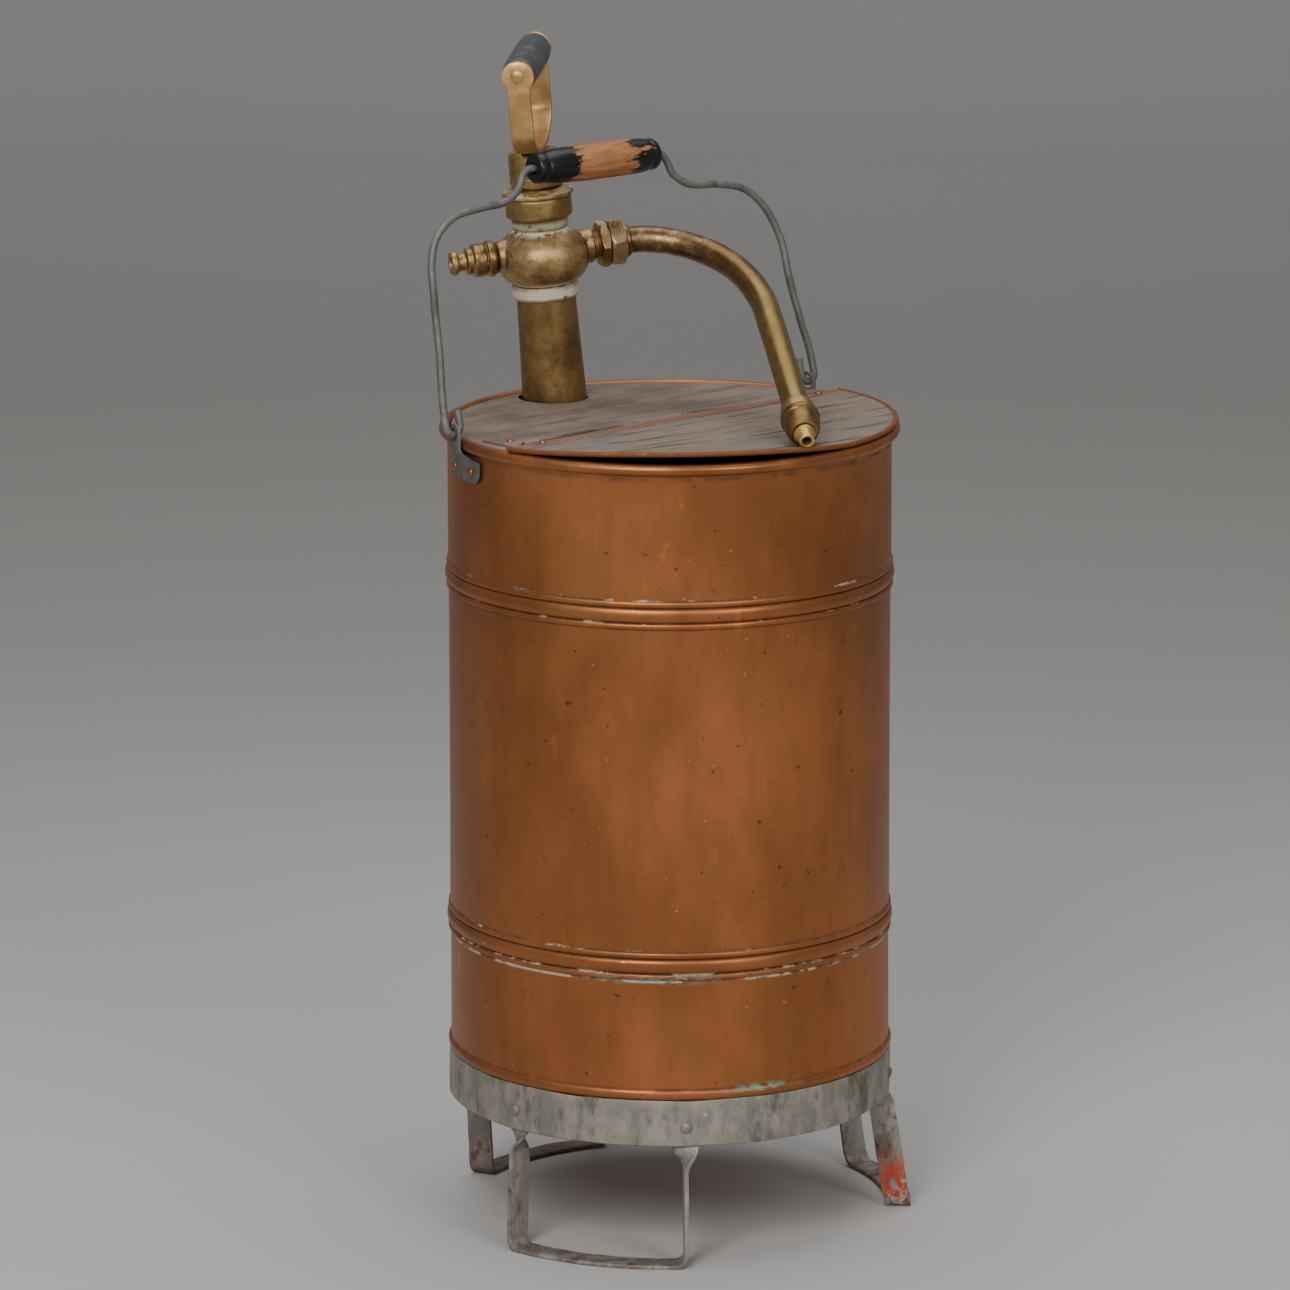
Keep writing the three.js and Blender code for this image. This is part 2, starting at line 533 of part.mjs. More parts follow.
function buildPistonAndFootValve() {
  const inner = BARREL.radius - BARREL.wall;
  const clear = 0.4;
  const low = BARREL.piston;
  add(pump, "piston_body", tube(inner - 1, 6.3, low, low + 16), BRASS);
  const cup = [[6.3, low + 16.3], [inner - clear, low + 16.3], [inner - clear, low + 30],
    [inner - 2.5, low + 30], [inner - 2.5, low + 19.5], [6.3, low + 19.5], [6.3, low + 16.3]];
  add(pump, "piston_cup", turned(cup, 24), LEATHER);
  add(pump, "piston_washer", tube(13, 6.3, low + 19.8, low + 22), BRASS);
  add(pump, "piston_nut", hexNut(8.5, 6.3, low + 22.3, low + 29.5), BRASS);
  const seat = BARREL.bottom - GAP;
  const valve = [[5.5, seat - 8], [21.4, seat - 8], [21.4, seat - 0.2], [inner - 0.4, seat - 0.2],
    [inner - 0.4, seat + 6], [9.5, seat + 6], [5.5, seat + 1.6], [5.5, seat - 8]];
  add(pump, "foot_valve_seat", turned(valve, 24), BRASS);
  const ball = new THREE.SphereGeometry(8.2, 12, 8);
  add(pump, "foot_valve_ball", ball, BRASS).position.z = seat + 9.6;
}

// ---------------------------------------------------------------- spout
const SPOUT_LINE = [[-11, 0], [6, 0.3], [22, 6], [39.5, 19], [53.6, 37.5], [63, 62], [66.4, 94], [63.4, 128],
  [58.2, 172], [50.8, 232]];

function buildSpout() {
  const root = new THREE.Group();
  root.position.z = OUTLET.height;
  root.rotation.z = degrees(OUTLET.azimuth);
  pump.add(root);
  const spout = new THREE.Group();
  spout.position.x = SPOUT.start;
  spout.rotation.x = -degrees(SPOUT.swivel);
  root.add(spout);
  const points = SPOUT_LINE.map(([along, away]) => new THREE.Vector3(along, 0, -away));
  add(spout, "spout_pipe", sweep(points, SPOUT.radius, 18, 6, SPOUT.radius - SPOUT.wall), BRASS);
  const ferrule = [[9.9, -4.2], [11.4, -4.2], [11.4, -2.2], [10.8, -1], [9.9, -1], [9.9, -4.2]];
  add(spout, "spout_ferrule", alongX(turned(ferrule, 20)), BRASS);

  const nozzle = new THREE.Group();
  const end = points[points.length - 1];
  const aim = end.clone().sub(points[points.length - 2]).normalize();
  nozzle.position.copy(end);
  nozzle.quaternion.setFromUnitVectors(new THREE.Vector3(0, 0, 1), aim);
  spout.add(nozzle);
  const collar = [[9.8, -2.5], [10.6, -2.5], [11.3, 0], [11.3, 4], [10.6, 6.6], [9.8, 6.6], [9.8, -2.5]];
  add(nozzle, "nozzle_collar", turned(collar, 20), BRASS);
  const cap = [[7.4, 7.2], [11.6, 7.2], [13.2, 8.6], [13.2, 12], [12.2, 13.4], [11.9, 20], [9.6, 27.4],
    [7.4, 27.4], [7.4, 7.2]];
  add(nozzle, "nozzle_cap", turned(cap, 24), BRASS);
  const tip = [[3.2, 27.8], [7.6, 27.8], [6.8, 30], [5.2, 34.4], [5, 37], [3.2, 37], [3.2, 27.8]];
  add(nozzle, "nozzle_tip", turned(tip, 18), BRASS);
}

buildTank();
buildFeet();
buildLid();
buildEars();
buildBail();
buildPumpBody();
buildGland();
buildRod();
buildPistonAndFootValve();
buildSpout();

// The origin is the middle of the whole part's footprint, on the floor.
const box = new THREE.Box3().setFromObject(model, true);
model.position.set(-(box.min.x + box.max.x) / 2, -(box.min.y + box.max.y) / 2, -box.min.z);

const part = new THREE.Group();
part.add(model);
export default part;
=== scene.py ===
"""The looks of an old copper tank with a brass hand pump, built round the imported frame.

Shapes are written in millimetres in the frame of the thing they belong to (the tank's axis, the pump's
axis, the spout's swivel and so on), and `build` puts them into the row frame in metres.
"""
import json
import math
from functools import reduce

import bmesh
import bpy
from mathutils import Matrix, Vector, noise


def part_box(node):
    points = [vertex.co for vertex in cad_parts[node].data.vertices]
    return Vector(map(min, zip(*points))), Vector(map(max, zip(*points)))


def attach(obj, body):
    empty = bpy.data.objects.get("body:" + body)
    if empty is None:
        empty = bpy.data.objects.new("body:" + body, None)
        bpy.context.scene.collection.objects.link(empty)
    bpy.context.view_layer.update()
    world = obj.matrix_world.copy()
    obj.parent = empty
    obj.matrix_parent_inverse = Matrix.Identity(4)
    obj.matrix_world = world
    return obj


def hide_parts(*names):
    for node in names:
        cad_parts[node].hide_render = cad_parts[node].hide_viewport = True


noise.seed_set(1)
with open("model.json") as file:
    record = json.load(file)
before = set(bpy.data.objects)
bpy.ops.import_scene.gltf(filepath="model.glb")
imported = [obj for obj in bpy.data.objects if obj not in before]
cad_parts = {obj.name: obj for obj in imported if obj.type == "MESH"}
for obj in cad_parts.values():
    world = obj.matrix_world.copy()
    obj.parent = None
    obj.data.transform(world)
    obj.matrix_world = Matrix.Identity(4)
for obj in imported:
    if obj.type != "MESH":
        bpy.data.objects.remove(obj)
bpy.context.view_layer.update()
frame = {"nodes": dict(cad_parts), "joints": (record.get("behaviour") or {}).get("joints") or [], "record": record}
JOINTS = {joint["name"]: joint for joint in frame["joints"]}
MOUNTS = {mount["name"]: mount for mount in frame["record"]["mounts"]}
BODIES = frame["record"]["behaviour"]["bodies"]
BODY_OF = {node: body for body, nodes in BODIES.items() for node in nodes}
MM = 0.001


# ---------------------------------------------------------------- places, from the frame
def basis(origin, up, right):
    """A matrix at origin with +Z along up and +X as near to right as it can be."""
    z = Vector(up).normalized()
    x = Vector(right)
    x = (x - z * x.dot(z)).normalized()
    return Matrix.Translation(origin) @ Matrix((x, z.cross(x), z)).transposed().to_4x4()


def middle(node):
    low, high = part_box(node)
    return (low + high) / 2


def spot(joint):
    return Vector(JOINTS[joint]["pos_m"])


shell_middle = middle("tank_shell")
TANK = Matrix.Translation((shell_middle.x, shell_middle.y, 0))
PUMP_AXIS = Vector(JOINTS["pump_stroke"]["axis"])
OUTLET_AXIS = -Vector(JOINTS["spout_swivel"]["axis"])
PUMP = basis(spot("rod_turn"), PUMP_AXIS, OUTLET_AXIS)
OUTLET_START = 62
OUTLET = basis(spot("spout_swivel") - OUTLET_AXIS * OUTLET_START * MM, OUTLET_AXIS, PUMP_AXIS)
to_tip = middle("nozzle_tip") - spot("spout_swivel")
SPOUT_AWAY = to_tip - OUTLET_AXIS * to_tip.dot(OUTLET_AXIS)
SPOUT = basis(spot("spout_swivel"), -SPOUT_AWAY, OUTLET_AXIS)
HANDLE = basis(spot("handle_grip_spin"), PUMP_AXIS, JOINTS["handle_grip_spin"]["axis"])
BAIL_AXIS = -Vector(JOINTS["bail_swing"]["axis"])
to_grip = spot("bail_grip_spin") - spot("bail_swing")
GRIP_SHIFT = to_grip.dot(BAIL_AXIS) / MM
BAIL_UP = to_grip - BAIL_AXIS * to_grip.dot(BAIL_AXIS)
BAIL = basis(spot("bail_swing"), BAIL_UP, BAIL_AXIS)
GRIP_HEIGHT = BAIL_UP.length / MM
HINGE = TANK.inverted() @ spot("flap_hinge") / MM


def azimuth(point):
    return math.atan2(point[1] - shell_middle.y, point[0] - shell_middle.x)


def outward(angle):
    """A frame on the tank's axis whose +X points outwards at that azimuth."""
    return TANK @ Matrix.Rotation(angle, 4, "Z")


# ---------------------------------------------------------------- shapes: (vertices in mm, faces)
def arc(x, y, radius, start, end, steps):
    """Points on a circle, angles in degrees."""
    turns = [math.radians(start + (end - start) * i / steps) for i in range(steps + 1)]
    return [(x + radius * math.cos(t), y + radius * math.sin(t)) for t in turns]


def rounded(outline, radius, closed=False, steps=3):
    """The outline with each corner replaced by a short curve."""
    count = len(outline)
    points = [Vector(p) for p in outline]
    made = []
    for i, p in enumerate(points):
        if not closed and i in (0, count - 1):
            made.append(tuple(p))
            continue
        before = points[i - 1] - p
        after = points[(i + 1) % count] - p
        reach = min(radius, before.length * 0.45, after.length * 0.45)
        start = p + before.normalized() * reach
        end = p + after.normalized() * reach
        for step in range(steps + 1):
            t = step / steps
            made.append(tuple(start * (1 - t) ** 2 + p * (2 * t * (1 - t)) + end * t ** 2))
    return made


def lathe(profile, segments=96):
    """Turns (radius, height) points about Z. The profile closes on itself or ends on the axis."""
    closed = profile[0][0] > 1e-6
    verts, rows = [], []
    for radius, height in profile:
        if radius < 1e-6:
            rows.append([len(verts)] * segments)
            verts.append(Vector((0, 0, height)))
            continue
        rows.append(list(range(len(verts), len(verts) + segments)))
        for k in range(segments):
            turn = 2 * math.pi * k / segments
            verts.append(Vector((radius * math.cos(turn), radius * math.sin(turn), height)))
    if closed:
        rows.append(rows[0])
    return verts, bridge(rows, True)


def bridge(rows, around):
    """Quads between rows of vertex numbers, with triangles where a row is a single point."""
    faces = []
    for lower, upper in zip(rows, rows[1:]):
        count = len(lower)
        for k in range(count if around else count - 1):
            quad = [lower[k], lower[(k + 1) % count], upper[(k + 1) % count], upper[k]]
            corners = list(dict.fromkeys(quad))
            if len(corners) > 2:
                faces.append(corners)
    return faces


def loft(rings, closed=False):
    """A skin over rings of points, capped at both ends unless the rings close on themselves."""
    count = len(rings[0])
    verts = [p for ring in rings for p in ring]
    rows = [list(range(i * count, (i + 1) * count)) for i in range(len(rings))]
    faces = bridge(rows + [rows[0]] if closed else rows, True)
    if not closed:
        faces += [rows[0][::-1], rows[-1]]
    return verts, faces


def smooth_line(points, count):
    """`count` evenly spaced points on a smooth curve through the given ones."""
    points = [Vector(p) for p in points]
    fine = []
    for i in range(len(points) - 1):
        a, b = points[i], points[i + 1]
        before = points[i - 1] if i else a * 2 - b
        after = points[i + 2] if i + 2 < len(points) else b * 2 - a
        gap = max((b - a).length, 1e-6)
        into = ((a - before) / max((a - before).length, 1e-6) + (b - a) / gap) * gap / 2
        out = ((b - a) / gap + (after - b) / max((after - b).length, 1e-6)) * gap / 2
        for step in range(16):
            t = step / 16
            h = (2 * t ** 3 - 3 * t ** 2 + 1, t ** 3 - 2 * t ** 2 + t, -2 * t ** 3 + 3 * t ** 2,
                 t ** 3 - t ** 2)
            fine.append(a * h[0] + into * h[1] + b * h[2] + out * h[3])
    fine.append(points[-1])
    lengths = [0]
    for a, b in zip(fine, fine[1:]):
        lengths.append(lengths[-1] + (b - a).length)
    made, i = [], 0
    for k in range(count + 1):
        want = lengths[-1] * k / count
        while i + 2 < len(lengths) and lengths[i + 1] < want:
            i += 1
        share = (want - lengths[i]) / max(lengths[i + 1] - lengths[i], 1e-9)
        made.append(fine[i].lerp(fine[i + 1], min(share, 1)))
    return made


def directions(line):
    """The direction of travel and a steady sideways direction at each point of a line."""
    side = None
    made = []
    for i, p in enumerate(line):
        along = (line[min(i + 1, len(line) - 1)] - line[max(i - 1, 0)]).normalized()
        if side is None:
            side = along.orthogonal()
        side = (side - along * side.dot(along)).normalized()
        made.append((p, along, side))
    return made


def wire(line, radius, sides=16, bore=0):
    """A round wire, or a pipe with a bore. `radius` is a size or a function of the share of the way."""
    size = radius if callable(radius) else (lambda share: radius)

    def ring(p, along, side, r):
        other = along.cross(side)
        turns = [2 * math.pi * k / sides for k in range(sides)]
        return [p + side * (r * math.cos(t)) + other * (r * math.sin(t)) for t in turns]

    stops = directions(line)
    last = len(stops) - 1
    outer = [ring(*stop, size(i / last)) for i, stop in enumerate(stops)]
    if not bore:
        ends = [ring(*stops[i], size(i / last) * 0.6) for i in (0, last)]
        return loft([ends[0]] + outer + [ends[1]])
    inner = [ring(*stop, bore) for stop in stops]
    return loft(outer + inner[::-1], closed=True)


def rounded_bar(width, thickness, corner):
    """The section of a flat bar: (across, through) points with rounded corners."""
    w, t = width / 2, thickness / 2
    return rounded([(-w, -t), (w, -t), (w, t), (-w, t)], corner, closed=True, steps=2)


def bar(stops, section):
    """A flat bar through (point, along, wide) stops. section(i) gives the bar's outline at stop i."""
    rings = []
    for i, (p, along, wide) in enumerate(stops):
        through = along.cross(wide).normalized()
        rings.append([p + wide * a + through * b for a, b in section(i)])
    return loft(rings)


def polar(radius_at, heights, bore):
    """A ring-shaped solid whose outer radius is radius_at(turn, height), with a round bore."""
    turns = [math.radians(angle) for angle in range(0, 360, 3)]

    def row(height, radius):
        return [Vector((radius(t) * math.cos(t), radius(t) * math.sin(t), height)) for t in turns]

    outer = [row(z, lambda t, z=z: radius_at(t, z)) for z in heights]
    inner = [row(z, lambda t: bore) for z in (heights[-1], heights[0])]
    return loft(outer + inner, closed=True)


HEX_FLAT = math.pi / 3


def hexagon(half, low, high, bore, chamfer=1.6):
    """A hexagonal nut, `half` being half its size across the flats, with turned corners."""
    def radius_at(turn, height):
        offset = (turn + HEX_FLAT / 2) % HEX_FLAT - HEX_FLAT / 2
        flat = half / math.cos(offset)
        depth = min(height - low, high - height)
        return min(flat, half * 1.02 + depth * chamfer)

    steps = [0, 0.25, 0.6, 1.1, 1.7, 2.4]
    heights = [low + s for s in steps if s < (high - low) / 2]
    heights += [low + high - z for z in reversed(heights)]
    return polar(radius_at, heights, bore)


def joined(*shapes):
    verts, faces = [], []
    for more_verts, more_faces in shapes:
        start = len(verts)
        verts += more_verts
        faces += [[v + start for v in face] for face in more_faces]
    return verts, faces


def moved(shape, matrix):
    return [matrix @ v for v in shape[0]], shape[1]


ALONG_X = Matrix.Rotation(math.pi / 2, 4, "Y")


def dome_rivet(depth, tail, shank, head, rise, segments):
    """A rivet along +X, its domed head proud of x = 0 and its tail at x = -depth."""
    outline = [(0, -depth), (tail, -depth), (tail, 0.8 - depth), (shank, 1 - depth), (shank, 0)]
    turns = [math.radians(angle) for angle in range(0, 90, 15)]
    outline += [(head * math.cos(t), rise * math.sin(t)) for t in turns] + [(0, rise)]
    return moved(lathe(outline, segments), ALONG_X)


def uneven(shape, amount, size, seed=0.0):
    """The shape with its points pushed about a little, as worn or hand-beaten metal is."""
    shift = Vector((seed, seed * 1.7, -seed))
    made = []
    for v in shape[0]:
        where = v / size + shift
        made.append(v + noise.noise_vector(where) * amount)
    return made, shape[1]


# ---------------------------------------------------------------- pieces
SHARP = math.radians(38)


def build(name, shape, place, look, node):
    """Makes a piece from a shape, rides it on its CAD node's body and lets it stand for that node."""
    verts, faces = shape
    mesh = bpy.data.meshes.new(name)
    mesh.from_pydata([place @ (v * MM) for v in verts], [], faces)
    obj = bpy.data.objects.new(name, mesh)
    bpy.context.scene.collection.objects.link(obj)
    finish_mesh(obj)
    mesh.materials.append(look)
    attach(obj, BODY_OF[node])
    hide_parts(node)
    return obj


def finish_mesh(obj):
    """Faces out, smooth, with real corners kept sharp."""
    mesh = obj.data
    work = bmesh.new()
    work.from_mesh(mesh)
    bmesh.ops.remove_doubles(work, verts=work.verts, dist=1e-6)
    bmesh.ops.recalc_face_normals(work, faces=work.faces)
    for face in work.faces:
        face.smooth = True
    for edge in work.edges:
        edge.smooth = not (len(edge.link_faces) == 2 and edge.calc_face_angle() > SHARP)
    work.to_mesh(mesh)
    work.free()


def apply_modifiers(obj):
    """The piece with its modifiers worked into its mesh."""
    graph = bpy.context.evaluated_depsgraph_get()
    mesh = bpy.data.meshes.new_from_object(obj.evaluated_get(graph))
    obj.modifiers.clear()
    old = obj.data
    obj.data = mesh
    bpy.data.meshes.remove(old)


def drill(obj, shape, place):
    """Cuts a shape out of a piece."""
    mesh = bpy.data.meshes.new("drill")
    mesh.from_pydata([place @ (v * MM) for v in shape[0]], [], shape[1])
    tool = bpy.data.objects.new("drill", mesh)
    bpy.context.scene.collection.objects.link(tool)
    finish_mesh(tool)
    cut = obj.modifiers.new("cut", "BOOLEAN")
    cut.operation = "DIFFERENCE"
    cut.object = tool
    cut.solver = "EXACT"
    apply_modifiers(obj)
    bpy.data.objects.remove(tool)
    bpy.data.meshes.remove(mesh)
    finish_mesh(obj)


def cast(obj, voxel, smoothing):
    """Melts overlapping solids into one skin with soft inner corners, as a casting has."""
    remesh = obj.modifiers.new("remesh", "REMESH")
    remesh.mode = "VOXEL"
    remesh.voxel_size = voxel * MM
    smooth = obj.modifiers.new("smooth", "SMOOTH")
    smooth.factor = 0.5
    smooth.iterations = smoothing
    apply_modifiers(obj)
    for polygon in obj.data.polygons:
        polygon.use_smooth = True


# ---------------------------------------------------------------- materials
def rgb(red, green, blue):
    """A linear colour from the 0 to 255 values that a screen shows."""
    def linear(value):
        value /= 255
        return value / 12.92 if value <= 0.04045 else ((value + 0.055) / 1.055) ** 2.4

    return (linear(red), linear(green), linear(blue), 1.0)


class Look:
    """A procedural material. Textures run in the row frame, so sizes are real ones, in millimetres."""

    def __init__(self, name, roughness=0.5, metallic=0.0, **constants):
        self.material = bpy.data.materials.new(name)
        self.material.use_nodes = True
        self.tree = self.material.node_tree
        self.tree.nodes.clear()
        output = self.tree.nodes.new("ShaderNodeOutputMaterial")
        self.shader = self.tree.nodes.new("ShaderNodeBsdfPrincipled")
        self.tree.links.new(self.shader.outputs[0], output.inputs[0])
        self.shader.inputs["Roughness"].default_value = roughness
        self.shader.inputs["Metallic"].default_value = metallic
        for socket, value in constants.items():
            self.shader.inputs[socket.replace("_", " ")].default_value = value
        self.where = self.tree.nodes.new("ShaderNodeTexCoord").outputs["Object"]

    def put(self, socket, value):
        if isinstance(value, bpy.types.NodeSocket):
            self.tree.links.new(value, socket)
        else:
            socket.default_value = value

    def set(self, **values):
        for name, value in values.items():
            self.put(self.shader.inputs[name.replace("_", " ")], value)

    def maths(self, operation, a, b=0.0, clamp=False):
        node = self.tree.nodes.new("ShaderNodeMath")
        node.operation = operation
        node.use_clamp = clamp
        self.put(node.inputs[0], a)
        self.put(node.inputs[1], b)
        return node.outputs[0]

    def noise(self, size, detail=4.0, rough=0.55, stretch=(1, 1, 1), seed=0.0):
        """Noise whose blobs are about `size` mm, longer along an axis whose stretch is over 1."""
        mapping = self.tree.nodes.new("ShaderNodeMapping")
        self.put(mapping.inputs["Vector"], self.where)
        mapping.inputs["Location"].default_value = (seed, seed * 1.3, seed * 0.7)
        mapping.inputs["Scale"].default_value = [1 / (size * MM * s) for s in stretch]
        node = self.tree.nodes.new("ShaderNodeTexNoise")
        self.put(node.inputs["Vector"], mapping.outputs[0])
        node.inputs["Scale"].default_value = 1.0
        node.inputs["Detail"].default_value = detail
        node.inputs["Roughness"].default_value = rough
        return node.outputs[0]

    def step(self, value, low, high):
        """0 below low, 1 above high, and a soft step between them (low may be above high)."""
        node = self.tree.nodes.new("ShaderNodeMapRange")
        node.interpolation_type = "SMOOTHSTEP"
        self.put(node.inputs["Value"], value)
        node.inputs["From Min"].default_value = low
        node.inputs["From Max"].default_value = high
        return node.outputs[0]

    def patches(self, low, high, *sizes, **options):
        """Noise cut into patches, as `noise` and then `step`."""
        return self.step(self.noise(*sizes, **options), low, high)

    def mix(self, share, a, b):
        node = self.tree.nodes.new("ShaderNodeMix")
        node.data_type = "RGBA"
        self.put(node.inputs[0], share)
        self.put(node.inputs[6], a)
        self.put(node.inputs[7], b)
        return node.outputs[2]

    def tint(self, under, over, share, strength):
        """The colour `over` laid on the colour `under`, at a part of its strength."""
        return self.mix(self.maths("MULTIPLY", share, strength), under, over)

    def blend(self, share, a, b):
        """As mix, for numbers."""
        node = self.tree.nodes.new("ShaderNodeMix")
        self.put(node.inputs[0], share)
        self.put(node.inputs[2], a)
        self.put(node.inputs[3], b)
        return node.outputs[0]

    def along(self, origin, axis):
        """The distance in mm from origin along an axis of the row frame."""
        axis = Vector(axis).normalized()
        node = self.tree.nodes.new("ShaderNodeVectorMath")
        node.operation = "DOT_PRODUCT"
        self.put(node.inputs[0], self.where)
        node.inputs[1].default_value = axis
        shifted = self.maths("SUBTRACT", node.outputs["Value"], Vector(origin).dot(axis))
        return self.maths("MULTIPLY", shifted, 1 / MM)

    def height(self):
        return self.along((0, 0, 0), (0, 0, 1))

    def band(self, distance, centre, half):
        """1 where distance is at centre, falling softly to 0 half away from it."""
        away = self.maths("ABSOLUTE", self.maths("SUBTRACT", distance, centre))
        return self.step(away, half, 0)

    def both(self, a, b):
        return self.maths("MULTIPLY", a, b, clamp=True)

    def either(self, a, b):
        return self.maths("MAXIMUM", a, b, clamp=True)

    def near(self, point, reach):
        """1 at a point of the row frame (metres), falling to 0 at reach mm from it."""
        node = self.tree.nodes.new("ShaderNodeVectorMath")
        node.operation = "DISTANCE"
        self.put(node.inputs[0], self.where)
        node.inputs[1].default_value = point
        return self.step(node.outputs["Value"], reach * MM, 0)

    def bump(self, height, depth):
        """Relief from a 0 to 1 height, `depth` mm deep. Later bumps lie on earlier ones."""
        node = self.tree.nodes.new("ShaderNodeBump")
        node.inputs["Strength"].default_value = 1.0
        node.inputs["Distance"].default_value = depth * MM
        self.put(node.inputs["Height"], height)
        normal = self.shader.inputs["Normal"]
        if normal.is_linked:
            self.put(node.inputs["Normal"], normal.links[0].from_socket)
        self.put(normal, node.outputs[0])


TANK_AXIS = TANK.translation
FRONT = math.radians(-133)


def on_tank(turn, height, radius=150):
    """A point on the tank's wall, `turn` degrees to the right of its front."""
    angle = FRONT + math.radians(turn)
    return TANK_AXIS + Vector((radius * math.cos(angle), radius * math.sin(angle), height)) * MM


SWAGES = (208, 446.4)


def copper_look():
    look = Look("copper_sheet", metallic=0.86)
    height = look.height()
    cloudy = look.patches(0.36, 0.66, 110, 5, 0.6, stretch=(1, 1, 1.6))
    colour = look.mix(cloudy, rgb(150, 92, 54), rgb(176, 110, 66))
    streaks = look.patches(0.42, 0.72, 16, 5, 0.6, stretch=(1, 1, 7), seed=3)
    colour = look.tint(colour, rgb(132, 84, 46), streaks, 0.35)
    olive = look.patches(0.5, 0.7, 60, 6, 0.65, seed=9)
    colour = look.tint(colour, rgb(140, 100, 52), olive, 0.4)
    low_down = look.step(height, 200, 130)
    pinkish = look.both(low_down, look.patches(0.45, 0.6, 34, 5, 0.6, stretch=(1, 1, 1.5), seed=14))
    colour = look.tint(colour, rgb(176, 96, 66), pinkish, 0.55)
    orange = look.patches(0.62, 0.7, 30, 6, 0.7, stretch=(1, 1, 1.8), seed=21)
    colour = look.tint(colour, rgb(196, 124, 58), orange, 0.55)
    fine = look.noise(3.2, 4, 0.7, seed=30)
    colour = look.tint(colour, rgb(112, 72, 44), look.step(fine, 0.55, 0.75), 0.3)
    specks = look.patches(0.70, 0.745, 7, 3, 0.5, seed=41)
    colour = look.tint(colour, rgb(84, 48, 34), specks, 0.75)
    pale_specks = look.patches(0.735, 0.77, 5, 2, 0.5, seed=57)
    colour = look.tint(colour, rgb(190, 150, 120), pale_specks, 0.7)
    # Painted shade along with some grime: the swage grooves, the crease over the base bead and the line under the
    # rim roll are painted dark brown, in broken patches.
    groove_shade_and_grime_at = ((122.8, 2), (437, 1.6), (441.4, 1.5), (451.5, 1.5), (456.4, 1.6), (537.5, 3), (198, 2.2),
                (202.6, 2), (212.8, 2), (217.8, 2))
    groove_shade_and_grime = reduce(look.either, [look.band(height, *ring) for ring in groove_shade_and_grime_at])
    broken = look.patches(0.34, 0.6, 14, 5, 0.6, seed=66)
    colour = look.tint(colour, rgb(74, 48, 34), look.both(groove_shade_and_grime, broken), 0.8)
    salts = []
    for centre, half, low in ((441.2, 1.1, 0.56), (456.6, 1.3, 0.55), (202.8, 1.4, 0.52),
                              (197.6, 1.9, 0.47), (217.8, 1.2, 0.56), (538, 0.8, 0.62),
                              (114.6, 2.2, 0.5)):
        patches = look.patches(low, low + 0.08, 17, 6, 0.7, stretch=(1, 1, 0.4), seed=low * 90)
        salts.append(look.both(look.band(height, centre, half), patches))
    salts = reduce(look.either, salts)
    colour = look.tint(colour, rgb(196, 190, 172), salts, 0.8)
    green_place = look.either(look.near(on_tank(-4, 200), 62), look.near(on_tank(24, 120), 40))
    green = look.both(green_place, look.patches(0.44, 0.56, 9, 6, 0.7, stretch=(1, 1, 0.6), seed=71))
    ring = look.either(look.band(height, 198.5, 4.5), look.band(height, 122, 4))
    green = look.both(green, ring)
    colour = look.mix(green, colour, rgb(112, 150, 128))
    stray = look.patches(0.74, 0.77, 6, 3, 0.6, seed=83)
    colour = look.mix(look.both(stray, low_down), colour, rgb(96, 126, 112))
    rim = look.both(look.step(height, 540, 545), look.patches(0.35, 0.6, 30, 5, 0.6, seed=91))
    colour = look.tint(colour, rgb(128, 84, 60), rim, 0.6)
    # The painted groove shade and grime, with the salts, also make those places dull and hardly metallic.
    salts_grime_and_groove_shade = look.either(look.maths("MULTIPLY", look.both(groove_shade_and_grime, broken), 0.7), salts)
    look.set(
        Base_Color=colour,
        Metallic=look.blend(look.either(salts_grime_and_groove_shade, green), 0.86, 0.1),
        Roughness=look.blend(look.either(salts_grime_and_groove_shade, green), look.blend(cloudy, 0.36, 0.47), 0.8),
    )
    look.bump(look.noise(1.6, 3, 0.6, seed=5), 0.03)
    look.bump(look.noise(24, 3, 0.5, seed=6), 0.5)
    look.bump(look.maths("SUBTRACT", 1.0, specks), 0.06)
    return look.material


def sheet_look(name, base, streak, strength=0.7, dust=0.5, seed=0.0):
    """Dull tinned sheet under dust, with dark streaks."""
    stretch = (9, 0.5, 1)
    look = Look(name, metallic=0.25)
    colour = look.mix(look.patches(0.35, 0.65, 40, 5, 0.6, seed=seed), base, rgb(128, 114, 102))
    wide = look.noise(14, 5, 0.65, stretch=stretch, seed=seed + 4)
    fine = look.noise(4, 4, 0.7, stretch=stretch, seed=seed + 8)
    thin_streaks = look.maths("MULTIPLY", look.step(fine, 0.56, 0.66), 0.7)
    dark = look.either(look.step(wide, 0.54, 0.64), thin_streaks)
    colour = look.mix(look.maths("MULTIPLY", dark, strength), colour, streak)
    powder = look.patches(0.45, 0.75, 9, 6, 0.75, seed=seed + 15)
    colour = look.tint(colour, rgb(146, 132, 120), powder, dust)
    look.set(Base_Color=colour, Roughness=look.blend(dark, 0.78, 0.5))
    look.bump(look.noise(1.2, 3, 0.6, seed=seed + 2), 0.05)
    look.bump(look.noise(26, 3, 0.5, seed=seed + 3), 0.6)
    return look


def rear_lid_look():
    look = sheet_look("rear_lid_sheet", rgb(106, 90, 80), rgb(72, 58, 50), strength=0.6, dust=0.3, seed=1)
    return look.material


